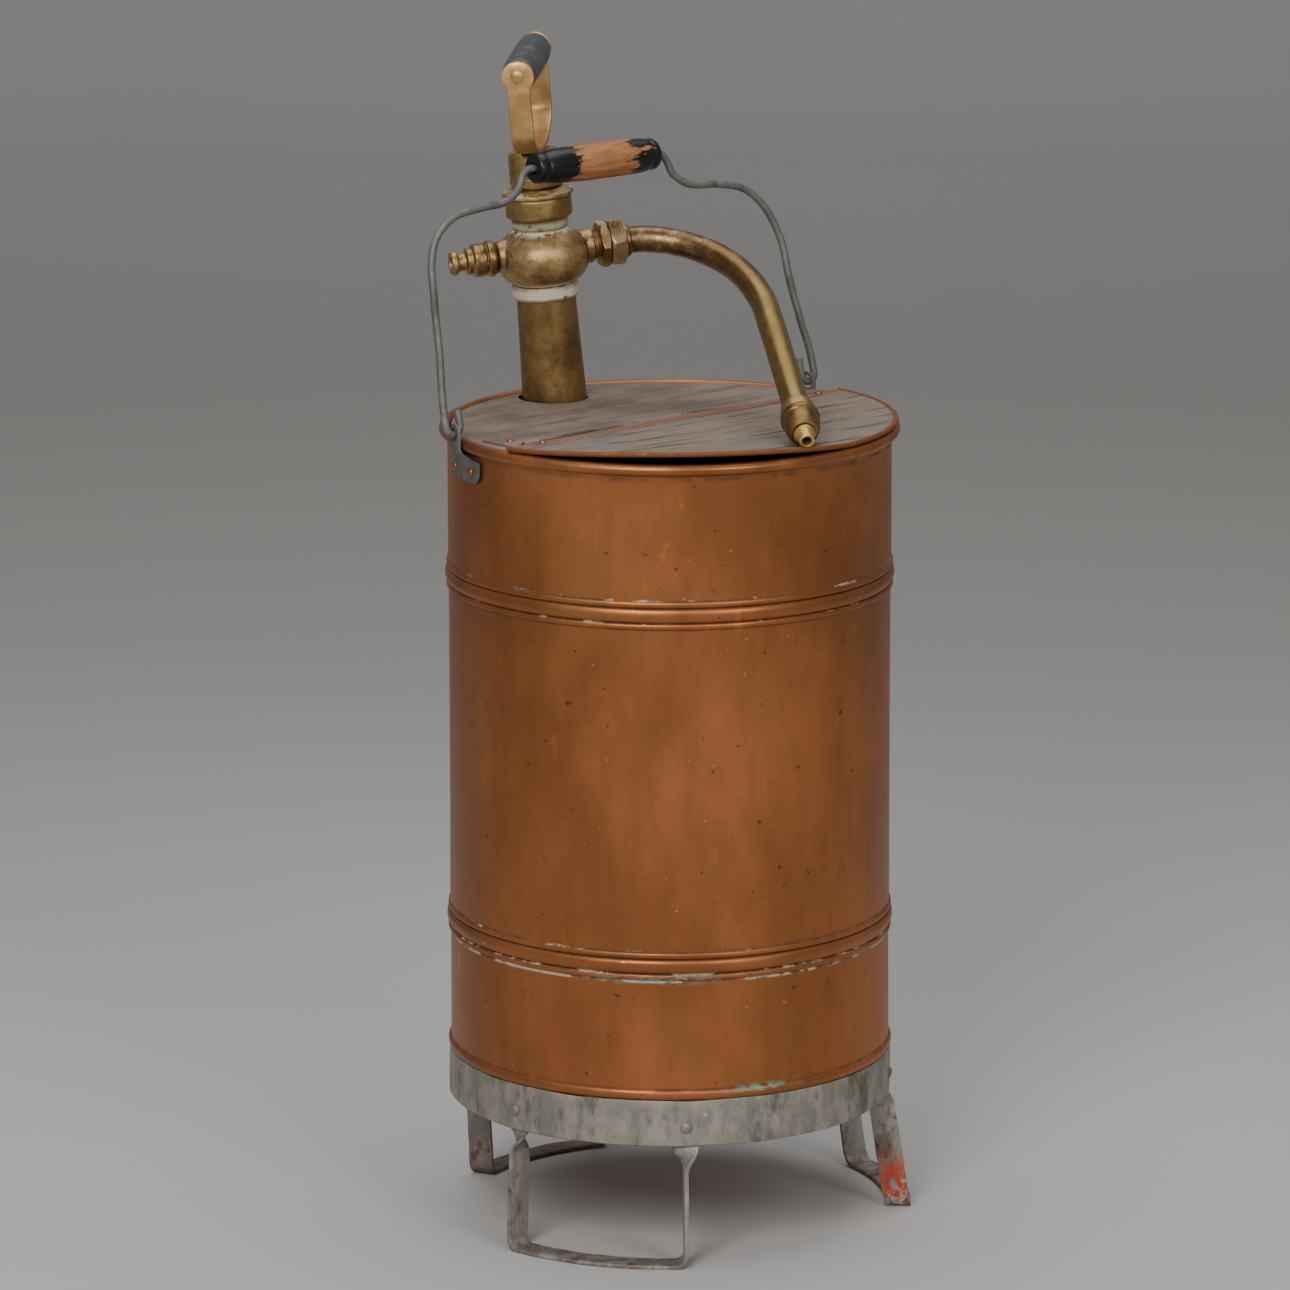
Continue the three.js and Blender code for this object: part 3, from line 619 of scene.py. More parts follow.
def flap_look():
    look = sheet_look("flap_sheet", rgb(118, 106, 96), rgb(52, 44, 38), strength=0.95, dust=0.3, seed=7)
    hinge_y = spot("flap_hinge").y
    from_hinge = look.along((0, hinge_y, 0), (0, -1, 0))
    strip = look.both(look.band(from_hinge, 8, 6.5), look.patches(0.3, 0.5, 20, 5, 0.6, seed=33))
    edge = look.tree.nodes.new("ShaderNodeVectorMath")
    edge.operation = "DISTANCE"
    flat = look.tree.nodes.new("ShaderNodeVectorMath")
    flat.operation = "MULTIPLY"
    look.put(flat.inputs[0], look.where)
    flat.inputs[1].default_value = (1, 1, 0)
    look.put(edge.inputs[0], flat.outputs[0])
    edge.inputs[1].default_value = (TANK_AXIS.x, TANK_AXIS.y, 0)
    lip = look.step(edge.outputs["Value"], 0.1495, 0.1515)
    under = look.shader.inputs["Base Color"].links[0].from_socket
    worn = look.mix(look.noise(9, 5, 0.6, seed=35), rgb(118, 66, 36), rgb(150, 92, 54))
    colour = look.mix(look.maths("MULTIPLY", look.either(strip, lip), 0.92), under, worn)
    spot_of_green = look.both(
        look.near(on_tank(-24, 552, 118), 17), look.patches(0.5, 0.62, 3, 4, 0.6, seed=36))
    look.set(Base_Color=look.mix(spot_of_green, colour, rgb(90, 150, 150)),
             Metallic=look.blend(lip, 0.25, 0.8))
    return look.material


def brass_look(name, dark, bright, seed, crust=None, crust_at=(), roughness=(0.3, 0.5), grain=0.08,
               shade=0.5):
    """Old brass. `crust` is the colour of its deposits, in (height, half, low) rings round the pump."""
    look = Look(name, metallic=0.92)
    cloud = look.patches(0.34, 0.66, 22, 6, 0.65, seed=seed)
    colour = look.mix(cloud, dark, bright)
    blotch = look.patches(0.52, 0.68, 6, 5, 0.7, seed=seed + 5)
    colour = look.tint(colour, rgb(84, 64, 34), blotch, shade)
    fine = look.patches(0.5, 0.75, 1.4, 3, 0.7, seed=seed + 9)
    colour = look.mix(look.maths("MULTIPLY", fine, 0.3), colour, bright)
    height = look.along(PUMP.translation, PUMP_AXIS)
    covered = []
    for centre, half, low in crust_at:
        patches = look.patches(low, low + 0.12, 4.5, 6, 0.75, seed=centre)
        covered.append(look.both(look.band(height, centre, half), patches))
    if covered:
        covered = reduce(look.either, covered)
        colour = look.tint(colour, crust, covered, 0.85)
        look.set(
            Metallic=look.blend(covered, 0.92, 0.05),
            Roughness=look.blend(covered, look.blend(cloud, *roughness), 0.85),
        )
    else:
        look.set(Roughness=look.blend(cloud, *roughness))
    look.set(Base_Color=colour)
    look.bump(look.noise(1.1, 4, 0.65, seed=seed + 3), grain)
    look.bump(look.noise(7, 3, 0.5, seed=seed + 2), 0.25)
    return look


def barrel_look():
    look = brass_look("barrel_brass", rgb(124, 98, 60), rgb(152, 122, 78), 11, shade=0.3, grain=0.03)
    return look.material


def spout_look():
    look = brass_look("spout_brass", rgb(104, 78, 50), rgb(132, 104, 72), 17, shade=0.4, grain=0.04)
    along = look.along(spot("spout_swivel"), SPOUT_AWAY)
    under = look.shader.inputs["Base Color"].links[0].from_socket
    olive = look.mix(look.noise(18, 5, 0.6, seed=19), rgb(120, 100, 56), rgb(148, 122, 72))
    colour = look.mix(look.step(along, 40, 110), under, olive)
    scuff = look.both(look.band(along, 16, 26), look.patches(0.5, 0.66, 8, 5, 0.7, seed=23))
    colour = look.tint(colour, rgb(190, 172, 140), scuff, 0.5)
    look.set(Base_Color=colour)
    return look.material


def steel_look(name, base, pale, dark, seed, rust=0.0):
    """Old galvanised steel, with spangle, smears and some rust."""
    look = Look(name, metallic=0.6)
    colour = look.mix(look.patches(0.36, 0.66, 13, 6, 0.7, stretch=(1, 1, 1.6), seed=seed), base, pale)
    smear = look.patches(0.52, 0.66, 20, 5, 0.65, stretch=(1, 1, 2.6), seed=seed + 3)
    colour = look.mix(look.maths("MULTIPLY", smear, 0.75), colour, dark)
    chips = look.patches(0.69, 0.73, 4.2, 3, 0.6, seed=seed + 6)
    colour = look.tint(colour, rgb(186, 188, 180), chips, 0.8)
    if rust:
        rusty = look.patches(0.62 - rust * 0.3, 0.72 - rust * 0.2, 11, 5, 0.7, seed=seed + 8)
        colour = look.tint(colour, rgb(104, 64, 40), rusty, 0.8)
    look.set(Base_Color=colour, Roughness=look.blend(smear, 0.6, 0.74))
    look.bump(look.noise(0.9, 4, 0.65, seed=seed + 1), 0.06)
    look.bump(look.noise(15, 3, 0.5, seed=seed + 2), 0.5)
    return look


def foot_look():
    look = steel_look("foot_steel", rgb(136, 131, 124), rgb(164, 159, 150), rgb(96, 88, 76), 44, rust=0.2)
    under = look.shader.inputs["Base Color"].links[0].from_socket
    rusty = look.near(Vector(MOUNTS["foot_rear_face"]["pos_m"]), 120)
    colour = look.tint(under, rgb(74, 48, 38), rusty, 0.75)
    leg = middle("foot_rivet_right_1")
    at = Vector((leg.x, leg.y, 0)) * 1.06
    paint = look.both(look.near(at + Vector((0, 0, 0.018)), 34),
                      look.patches(0.42, 0.5, 8, 4, 0.6, seed=47))
    colour = look.mix(paint, colour, rgb(186, 66, 36))
    white = look.both(look.near(at + Vector((0, 0, 0.002)), 16),
                      look.patches(0.46, 0.54, 5, 3, 0.6, seed=48))
    colour = look.mix(white, colour, rgb(206, 200, 190))
    low = look.both(look.step(look.height(), 14, 2), look.patches(0.4, 0.6, 9, 4, 0.6, seed=49))
    look.set(Base_Color=look.tint(colour, rgb(88, 66, 50), low, 0.5))
    return look.material


def grip_look():
    """Turned wood that has lost most of the black paint from its middle."""
    look = Look("grip_wood", metallic=0.0, Specular_IOR_Level=0.4)
    across = look.along(spot("bail_grip_spin"), BAIL_AXIS)
    grain = look.noise(3, 6, 0.6, stretch=(9, 1, 1), seed=51)
    wood = look.mix(look.step(grain, 0.3, 0.7), rgb(124, 78, 44), rgb(172, 118, 74))
    wood = look.tint(wood, rgb(150, 92, 46), look.patches(0.5, 0.7, 14, 4, 0.6, seed=52), 0.5)
    torn = look.noise(7, 6, 0.75, stretch=(2.6, 1, 1), seed=53)
    left = look.step(across, -4, -36)
    right = look.step(across, 8, 44)
    want = look.either(left, look.maths("MULTIPLY", right, 0.7))
    paint = look.step(look.maths("ADD", torn, look.maths("MULTIPLY", want, 0.42)), 0.68, 0.71)
    colour = look.mix(paint, wood, rgb(12, 11, 11))
    look.set(Base_Color=colour, Roughness=look.blend(paint, 0.62, 0.34))
    look.bump(grain, 0.12)
    look.bump(paint, 0.16)
    return look.material


def handle_grip_look():
    look = Look("handle_grip_paint", metallic=0.0)
    worn = look.patches(0.5, 0.7, 10, 5, 0.65, seed=61)
    colour = look.tint(rgb(50, 52, 56), rgb(92, 94, 98), worn, 0.6)
    chips = look.patches(0.66, 0.7, 4, 3, 0.6, seed=63)
    look.set(
        Base_Color=look.tint(colour, rgb(110, 88, 66), chips, 0.5),
        Roughness=look.blend(worn, 0.4, 0.56),
    )
    look.bump(look.noise(5, 4, 0.6, seed=64), 0.2)
    return look.material


def leather_look():
    look = Look("oiled_leather", roughness=0.7)
    look.set(Base_Color=look.mix(look.noise(6, 5, 0.6, seed=67), rgb(70, 46, 30), rgb(104, 72, 46)))
    look.bump(look.noise(1.5, 4, 0.7, seed=68), 0.1)
    return look.material


def floor_look():
    look = Look("pale_floor", roughness=0.6, Specular_IOR_Level=0.25)
    colour = look.mix(look.noise(900, 2, 0.5, seed=90), rgb(176, 174, 172), rgb(180, 178, 176))
    depth = look.along(TANK_AXIS, TANK.to_3x3() @ Matrix.Rotation(VIEW_TURN, 3, "Z") @ Vector((0, 1, 0)))
    # Painted shade: a darker band across the floor from just behind the tank to the foot of the wall.
    shaded = look.both(look.step(depth, 150, 1900), look.step(depth, 4800, 2600))
    colour = look.tint(colour, rgb(132, 128, 125), shaded, 0.62)
    # Painted light: the wall far behind the tank is painted lighter.
    look.set(Base_Color=look.mix(look.step(depth, 5200, 5800), colour, rgb(206, 206, 208)))
    return look.material


# ---------------------------------------------------------------- tank
RADIUS = 150
WALL = 1.5
ROLL = {"ring": 151.5, "minor": 4, "z": 544.6}


def bead(low, high, proud):
    centre, half = (low + high) / 2, (high - low) / 2
    turns = [math.radians(angle) for angle in range(-90, 91, 15)]
    return [(RADIUS + proud * math.cos(t), centre + half * math.sin(t)) for t in turns]


def tank_profile():
    outside = [(149.3, 109), (149.3, 115), (RADIUS - 0.2, 115.6)] + bead(115.8, 122.6, 1.8)
    for z in SWAGES:
        for low, high, proud in ((-9.4, -5.4, 1.2), (-4.6, 4.6, 2), (5.4, 9.4, 1.2)):
            outside += [(RADIUS - 0.5, z + low - 0.5)] + bead(z + low, z + high, proud)
        outside.append((RADIUS, z + 10.4))
    outside += [(RADIUS, 500), (RADIUS - 0.1, ROLL["z"] - 6), (RADIUS + 0.2, ROLL["z"] - 4.6)]
    roll = arc(ROLL["ring"], ROLL["z"], ROLL["minor"], -70, 210, 20)
    curl = arc(ROLL["ring"], ROLL["z"], ROLL["minor"] - 1.1, 210, -90, 16)
    inner = RADIUS - WALL
    return outside + roll + curl + [(inner, ROLL["z"] - 6), (inner, 117), (147.8, 114.5), (147.8, 109)]


def spread(profile, longest):
    """The profile with points added so that no step is longer than `longest` mm."""
    made = []
    for a, b in zip(profile, profile[1:] + profile[:1]):
        steps = max(1, math.ceil(math.dist(a, b) / longest))
        x_step, y_step = (b[0] - a[0]) / steps, (b[1] - a[1]) / steps
        made += [(a[0] + x_step * i, a[1] + y_step * i) for i in range(steps)]
    return made


def turned(outline, corner, longest, segments, steps=3):
    """A lathed ring with rounded corners and its long sides divided, ready to be made uneven."""
    return lathe(spread(rounded(outline, corner, closed=True, steps=steps), longest), segments)


def make_tank(copper, steel):
    shell = uneven(lathe(spread(tank_profile(), 24), 224), 0.35, 90, seed=3.1)
    build("copper_shell", shell, TANK, copper, "tank_shell")
    frame["nodes"]["tank_bottom"].data.materials[0] = copper

    band = [(149.7, 84.2), (150.6, 83.9), (151.3, 84.6), (151.2, 100), (151.25, 114.2), (150.9, 115.3),
            (149.9, 115.3), (149.7, 114.6)]
    skin = uneven(lathe(spread(band, 6), 256), 0.7, 26, seed=8.4)
    build("base_band_skin", skin, TANK, steel, "base_band")


# ---------------------------------------------------------------- feet
STRAP = {"width": 18, "thickness": 3, "top": 146.9, "bend": 7}


def foot_stops(start, end, reach):
    """(point, along, wide) stops down one leg, round the sole and up the other, angles in degrees."""
    floor = STRAP["thickness"] / 2
    bend = STRAP["bend"]

    def radial(angle):
        return Vector((math.cos(math.radians(angle)), math.sin(math.radians(angle)), 0))

    def leg(angle, way):
        stops = []
        for z, twist in ((108, 0), (96, 0), (85, 0), (82, 8), (79, 26), (76, 48), (73, 68), (70, 82),
                         (66, 90), (52, 90), (36, 90), (20, 90), (floor + bend, 90)):
            share = max(0, (70 - z) / (70 - floor))
            radius = STRAP["top"] + (reach - STRAP["top"]) * share
            turn = math.radians(twist)
            wide = radial(angle + 90) * math.cos(turn) + radial(angle) * math.sin(turn)
            stops.append((radial(angle) * radius + Vector((0, 0, z)), Vector((0, 0, way)), wide))
        return stops

    def corner(angle, way):
        stops = []
        for turn in (15, 30, 45, 60, 75):
            s, c = math.sin(math.radians(turn)), math.cos(math.radians(turn))
            point = radial(angle) * reach + radial(angle + 90) * (way * bend * (1 - c))
            point.z = floor + bend * (1 - s)
            along = Vector((0, 0, -way * c)) + radial(angle + 90) * s
            stops.append((point, along, radial(angle)))
        return stops

    inset = math.degrees(bend / reach)
    sole = []
    for i in range(17):
        angle = start + inset + (end - start - 2 * inset) * i / 16
        sole.append((radial(angle) * reach + Vector((0, 0, floor)), radial(angle + 90), radial(angle)))
    return leg(start, -1) + corner(start, 1) + sole + corner(end, -1)[::-1] + leg(end, 1)[::-1]


def make_feet(look, rivet_look):
    section = rounded_bar(STRAP["width"], STRAP["thickness"], 0.9)
    for i, name in enumerate(("front", "right", "rear")):
        angles = []
        for end in (1, 2):
            rivet = middle(f"foot_rivet_{name}_{end}")
            angles.append(math.degrees(azimuth(rivet)))
            place = outward(azimuth(rivet)) @ Matrix.Translation(Vector((151.5, 0, rivet.z / MM)) * MM)
            shape = uneven(dome_rivet(7.4, 2.9, 1.9, 3.7, 1.9, 28), 0.25, 3, seed=i + end)
            build(f"band_rivet_{name}_{end}", shape, place, rivet_look, f"foot_rivet_{name}_{end}")
        face = Vector(MOUNTS[f"foot_{name}_face"]["pos_m"])
        reach = math.hypot(face.x - shell_middle.x, face.y - shell_middle.y) / MM
        if angles[1] < angles[0]:
            angles[1] += 360
        shape = uneven(bar(foot_stops(*angles, reach), lambda stop: section), 0.5, 20, seed=i * 4.0)
        verts = [Vector((v.x, v.y, max(v.z, 0.0))) for v in shape[0]]
        build(f"strap_foot_{name}", (verts, shape[1]), TANK, look, f"foot_{name}")


# ---------------------------------------------------------------- lid
LID = {"radius": 147.1, "edge": 0.5, "hole": (4.2, 121.8), "bore": 24}
FLAP = {"radius": 154, "top": 551.6, "sheet": 1.2, "hem": 1.75}


def make_rear_lid(look):
    """The fixed half disc, meshed in rays from the pump hole out to its edge."""
    low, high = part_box("lid_rear")
    top, under = high.z / MM, low.z / MM
    hole = Vector(LID["hole"])
    corner = math.sqrt(LID["radius"] ** 2 - LID["edge"] ** 2)
    ends = [(side * corner - hole.x, LID["edge"] - hole.y) for side in (-1, 1)]
    corners = [math.atan2(y, x) % (2 * math.pi) for x, y in ends]
    turns = sorted([2 * math.pi * k / 150 for k in range(150)] + corners)

    def reach(turn):
        ray = Vector((math.cos(turn), math.sin(turn)))
        across = hole.dot(ray)
        far = -across + math.sqrt(across ** 2 + LID["radius"] ** 2 - hole.length_squared)
        if ray.y < -1e-9:
            far = min(far, (hole.y - LID["edge"]) / -ray.y)
        return far

    def row(share, z):
        made = []
        for turn in turns:
            distance = LID["bore"] + (reach(turn) - LID["bore"]) * share
            point = Vector((hole.x + math.cos(turn) * distance, hole.y + math.sin(turn) * distance, z))
            lift = 0.5 * noise.noise(Vector((point.x / 60, point.y / 60, 4.0)))
            made.append(point + Vector((0, 0, min(lift, 0.0))))
        return made

    shares = [0, 0.02, 0.1, 0.25, 0.4, 0.55, 0.7, 0.85, 0.96, 1]
    rows = [row(s, top) for s in shares] + [row(s, under) for s in reversed(shares)]
    build("rear_lid", loft(rows, closed=True), TANK, look, "lid_rear")


def knuckle(start, end):
    """One rolled knuckle of the hinge, with a little roundness at its mouth."""
    radius, bore = 2.8, 1.7
    outline = [(bore, start), (radius - 0.4, start), (radius, start + 0.5), (radius, end - 0.5),
               (radius - 0.4, end), (bore, end)]
    return moved(moved(lathe(spread(outline, 12), 20), ALONG_X),
                 Matrix.Translation((0, HINGE.y, HINGE.z)))


def slab(x0, x1, y0, y1, z0, z1):
    ring = rounded([(y0, z0), (y1, z0), (y1, z1), (y0, z1)], 0.3, closed=True, steps=2)
    count = max(2, round((x1 - x0) / 12))
    return loft([[Vector((x0 + (x1 - x0) * i / count, y, z)) for y, z in ring] for i in range(count + 1)])


def make_hinge_leaf(look, iron):
    low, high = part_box("lid_rear")
    base = high.z / MM + 0.3
    parts = []
    for x0, x1 in ((-136, -122), (-7, 7), (122, 136)):
        parts += [knuckle(x0, x1), slab(x0, x1, HINGE.y + 2, 3, base, base + 0.9)]
    sheet = []
    for i in range(25):
        x = -137.5 + 275 * i / 24
        far = min(35, math.sqrt(146 ** 2 - x ** 2) - 1)
        ring = [(1, base), (far, base), (far, base + 0.8), (16.6, base + 0.9), (15.6, base + 1.6),
                (14.2, base + 1.7), (13.2, base + 0.9), (1, base + 0.9)]
        lift = 0.25 * noise.noise(Vector((x / 30, 0, 7)))
        sheet.append([Vector((x, y, z + max(lift, 0))) for y, z in ring])
    build("hinge_leaf_sheet", joined(loft(sheet), *parts), TANK, look, "hinge_leaf")
    frame["nodes"]["hinge_pin"].data.materials[0] = iron
    frame["nodes"]["rim_wire"].data.materials[0] = iron


def flap_lift(x, y):
    """How far the sprung sheet stands up at the front left, in mm."""
    edge = math.hypot(x, y) / FLAP["radius"]
    turn = math.degrees(math.atan2(y, x))
    bow = max(0.0, math.cos(math.radians((turn + 128) * 90 / 46))) if abs(turn + 128) < 46 else 0.0
    return 4.6 * bow * edge ** 3 + 0.3 * noise.noise(Vector((x / 40, y / 40, 2)))


def make_flap(look):
    """The hinged half disc: a thin sheet, a rolled hem round it and long knuckles along the hinge."""
    start = HINGE.y - 3.1
    limit = math.acos(-start / FLAP["radius"])
    turns = [-limit + 2 * limit * k / 96 for k in range(97)]

    def row(share, z):
        made = []
        for turn in turns:
            x = FLAP["radius"] * math.sin(turn)
            y = start + (-FLAP["radius"] * math.cos(turn) - start) * share
            made.append(Vector((x, y, z + flap_lift(x, y))))
        return made

    shares = [i / 22 for i in range(23)]
    low, high = FLAP["top"] - FLAP["sheet"], FLAP["top"]
    sheet = loft([row(s, high) for s in shares] + [row(s, low) for s in reversed(shares)], closed=True)
    edge = []
    for turn in turns:
        x, y = FLAP["radius"] * math.sin(turn), -FLAP["radius"] * math.cos(turn)
        edge.append(Vector((x * 0.9905, y * 0.9905, FLAP["top"] - 0.9 + flap_lift(x, y))))
    hem = wire(edge, FLAP["hem"], 14)
    parts = []
    for x0, x1 in ((-121.5, -7.5), (7.5, 121.5)):
        parts += [knuckle(x0, x1), slab(x0, x1, start - 1, HINGE.y - 1.9, low, high)]
    parts.append(slab(-131, 131, start - 9.5, start - 0.6, high - 0.2, high + 0.6))
    build("flap_sheet", joined(sheet, hem, *parts), TANK, look, "lid_flap")


def make_lid_rivets(copper):
    for node in ("leaf_rivet_1", "leaf_rivet_2", "flap_rivet_1", "flap_rivet_2"):
        low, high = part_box(node)
        centre = middle(node)
        top = (high.z - low.z) / MM
        outline = [(0, 0), (2.3, 0), (2.3, 1.2), (1.2, 1.4), (1.2, top - 1.4), (2.5, top - 1.2),
                   (2.3, top - 0.6), (1.6, top - 0.15), (0, top)]
        place = Matrix.Translation((centre.x, centre.y, low.z))
        build("button_" + node, lathe(outline, 24), place, copper, node)


# ---------------------------------------------------------------- bail
EAR = {"wall": 150.4, "sheet": 2, "neck": 156.9, "eye": 551.8, "hole": 4.5, "rivet_z": 528}
BAIL_LEFT = [(-158.6, 22), (-155, 58), (-152.8, 92), (-150.2, 115), (-143, 131.5), (-127, 143),
             (-103, 147), (-80, 150), (-69.5, 157), (-63.5, 166), (-58.5, 168.8), (-52, 169)]
BAIL_RIGHT = [(158.4, 22), (154, 43), (150.3, 74), (147, 102), (138.5, 122), (123.5, 137), (103, 142.5),
              (74, 146), (62.5, 154), (58.5, 164), (54.5, 168.4), (48, 169)]
BAIL_SPAN = 153.5
BAIL_HOOK = 5.8


def ear_plate(seed):
    """A wide plate curved round the tank, narrowing to a tab that steps out round the rim roll."""
    centre = EAR["wall"] + EAR["sheet"] / 2

    def half_width(z):
        if z < 528:
            return 16 + 7 * math.sqrt(max(0.0, 1 - ((528 - z) / 7.2) ** 2))
        if z < 535.5:
            return 23
        if z < 541:
            return 23 - 16 * math.sin((z - 535.5) / 5.5 * math.pi / 2)
        if z < EAR["eye"]:
            return 7.0
        return math.sqrt(max(7.0 ** 2 - (z - EAR["eye"]) ** 2, 0.8))

    def radius(z):
        share = min(max((z - 534.5) / 8, 0), 1)
        return centre + (EAR["neck"] - centre) * share * share * (3 - 2 * share)

    top = EAR["eye"] + 7
    heights = [521, 521.3, 522, 523.2, 525, 527, 529, 532, 534.5, 535.5, 536.2, 537, 538, 539, 540, 541,
               543, 546]
    heights += [EAR["eye"] + 7 * math.sin(math.radians(a)) for a in range(-30, 90, 8)] + [top]
    rows = []
    for side in (1, -1):
        made = []
        for z in heights:
            width = half_width(min(z, top - 0.06))
            line = []
            for k in range(13):
                across = width * (k / 6 - 1)
                edge = 0.35 * abs(k / 6 - 1) ** 6
                reach = radius(z) + side * (EAR["sheet"] / 2 - edge)
                wrap = min(max((545 - z) / 8, 0), 1)
                lift = 0.35 * noise.noise(Vector((across / 9, z / 9, seed)))
                turn = across / centre
                flat = Vector((reach, across, z))
                curved = Vector((reach * math.cos(turn), reach * math.sin(turn), z))
                line.append(flat.lerp(curved, wrap) + Vector((max(lift, 0), 0, 0)))
            made.append(line)
        rows.append(made)
    rings = [front + back[::-1] for front, back in zip(*rows)]
    return loft(rings)


def make_ears(look, copper):
    for seed, side in enumerate(("left", "right")):
        ends = [azimuth(middle(f"ear_rivet_{side}_{end}")) for end in (1, 2)]
        angle = math.atan2(sum(map(math.sin, ends)), sum(map(math.cos, ends)))
        piece = build("ear_plate_" + side, ear_plate(seed * 5), outward(angle), look, "ear_" + side)
        hole = moved(moved(lathe([(0, -8), (EAR["hole"], -8), (EAR["hole"], 8), (0, 8)], 40), ALONG_X),
                     Matrix.Translation((EAR["neck"], 0, EAR["eye"])))
        drill(piece, hole, outward(angle))
        for end in (1, 2):
            place = outward(ends[end - 1]) @ Matrix.Translation(
                Vector((EAR["wall"] + EAR["sheet"] + 0.3, 0, EAR["rivet_z"])) * MM)
            shape = uneven(dome_rivet(6.6, 2.5, 1.7, 3.3, 1.6, 26), 0.2, 3, seed=end)
            build(f"rivet_ear_{side}_{end}", shape, place, copper, f"ear_rivet_{side}_{end}")


def make_bail(look, wood):
    def hook(side):
        bend = arc(0, 0, BAIL_HOOK, 180, 270, 7)
        inside = [(side * (BAIL_SPAN + x), BAIL_HOOK + z) for x, z in bend]
        outside = [(side * (BAIL_SPAN - x), BAIL_HOOK + z) for x, z in bend[-2::-1]]
        low = side * (BAIL_SPAN - BAIL_HOOK)
        return [(low + side * 0.4, 15.8), (low, 11)] + inside + outside

    line = hook(-1) + BAIL_LEFT + [(0, GRIP_HEIGHT)] + BAIL_RIGHT[::-1] + hook(1)[::-1]
    path = smooth_line([(x, 0, z) for x, z in line], 420)
    rod = uneven(wire(path, 2.6, 14), 0.5, 30, seed=2.0)
    build("bail_rod", rod, BAIL, look, "bail_wire")

    outline = [(3.8, -51.8), (8.6, -51.8), (9.9, -50.9), (10.5, -48.6), (10.6, -45.6), (10.1, -44.2),
               (10.8, -42.6), (11.6, -36), (12.2, -24), (12.5, -6), (12.4, 16), (12.1, 30), (11.6, 41),
               (11, 44), (10.6, 45.4), (11, 47), (10.8, 50), (9.8, 51.4), (8.4, 51.9), (3.8, 51.9)]
    grip = moved(turned(outline, 1.2, 5, 64, steps=2), ALONG_X)
    place = BAIL @ Matrix.Translation(Vector((GRIP_SHIFT, 0, GRIP_HEIGHT)) * MM)
    build("turned_grip", uneven(grip, 0.25, 14, seed=6), place, wood, "bail_grip")


# ---------------------------------------------------------------- pump
BARREL = {"radius": 20.25, "wall": 1.5, "bottom": -412, "top": 81.4}


def threads(radius, low, high, pitch, depth):
    """The outer side of a worn thread, as (radius, height) points."""
    points = []
    z = low
    while z + pitch <= high + 1e-6:
        points += [(radius - depth, z), (radius, z + pitch * 0.35), (radius, z + pitch * 0.6)]
        z += pitch
    return points + [(radius - depth, high)]


def make_pump_body(barrel, cast_brass, gland, union):
    inner = BARREL["radius"] - BARREL["wall"]
    pipe = [(inner, BARREL["bottom"]), (22.2, BARREL["bottom"]), (22.2, 0), (BARREL["radius"], 66),
            (BARREL["radius"], BARREL["top"]), (inner, BARREL["top"])]
    build("pump_tube", uneven(lathe(spread(pipe, 40), 72), 0.15, 40, seed=5), PUMP, barrel, "pump_barrel")

    bore = BARREL["radius"] + 0.3
    collar = [(bore, 71.7), (21.7, 71.7), (22.6, 72.6), (23.2, 74), (22.7, 75.4), (23.2, 76.6),
              (23.3, 79.4), (22.6, 80.8), (21.8, 81.4), (bore, 81.4)]
    shape = uneven(turned(collar, 0.8, 2.5, 88), 0.45, 5, seed=7)
    build("foot_collar", shape, PUMP, cast_brass, "pump_collar")

    globe = [(14.8, 81.8), (21.6, 81.8), (22.6, 83), (26, 84.8), (29, 88.2), (31, 92.6), (31.7, 98.5),
             (31.2, 104), (29.6, 109), (26.6, 113), (23, 115.8), (20.6, 117.4), (19, 119), (19, 121),
             (14.8, 121)]
    head = build("pump_globe", lathe(rounded(globe, 1.5, closed=True), 96), PUMP, cast_brass, "pump_head")
    across = basis(OUTLET.translation, OUTLET_AXIS, PUMP_AXIS)
    boss = [(0, -33), (10.2, -33), (11.2, -31.6), (11.6, -27), (12.6, -22), (12.6, 22), (11.6, 27),
            (11.8, 31), (12.4, 33.4), (11.2, 35.4), (0, 35.4)]
    melt(head, lathe(rounded(boss, 1.0), 64), across)
    cast(head, 0.9, 5)
    neck = [(14.8, 119.5)] + threads(19.3, 119.6, 135.4, 1.5, 0.8) + [(14.8, 135.4)]
    build("neck_thread", lathe(neck, 88), PUMP, gland, "pump_head")
    outlet = [(7, 34)] + threads(10, 34.6, 50.4, 1.5, 0.7) + [(7, 50.4)]
    build("outlet_thread", lathe(outlet, 64), OUTLET, cast_brass, "pump_head")

    build("hex_lock_nut", hexagon(14.6, 39.3, 45.3, 10.5), OUTLET, cast_brass, "lock_nut")
    tail = [(4.6, -64.6), (7.8, -64.6), (8.3, -63.8), (8.4, -61.4), (7.9, -60.6), (6.4, -59.8),
            (6.1, -57.6), (6.4, -55), (9, -54), (9.4, -53), (9.3, -50.4), (10.4, -49.6), (11.3, -48.6),
            (11.5, -46), (11.6, -42), (10.9, -40.8), (10.8, -40), (12.2, -39.4), (12.5, -38.2),
            (12.4, -35.4), (11.4, -34.4), (10.6, -33.4), (4.6, -33.4)]
    shape = uneven(turned(tail, 0.5, 2, 72, steps=2), 0.2, 5, seed=4)
    build("ribbed_tail", shape, OUTLET, cast_brass, "hose_tail")

    body = moved(hexagon(15, 46, 56.2, 10.3, chamfer=1.1), Matrix.Rotation(math.radians(-10), 4, "Z"))
    ring = [(10.3, 55.8), (13.4, 55.8), (14, 56.2), (13.8, 57), (13.2, 57.4), (10.3, 57.4)]
    build("hex_union_nut", joined(body, lathe(ring, 72)), OUTLET, union, "union_nut")


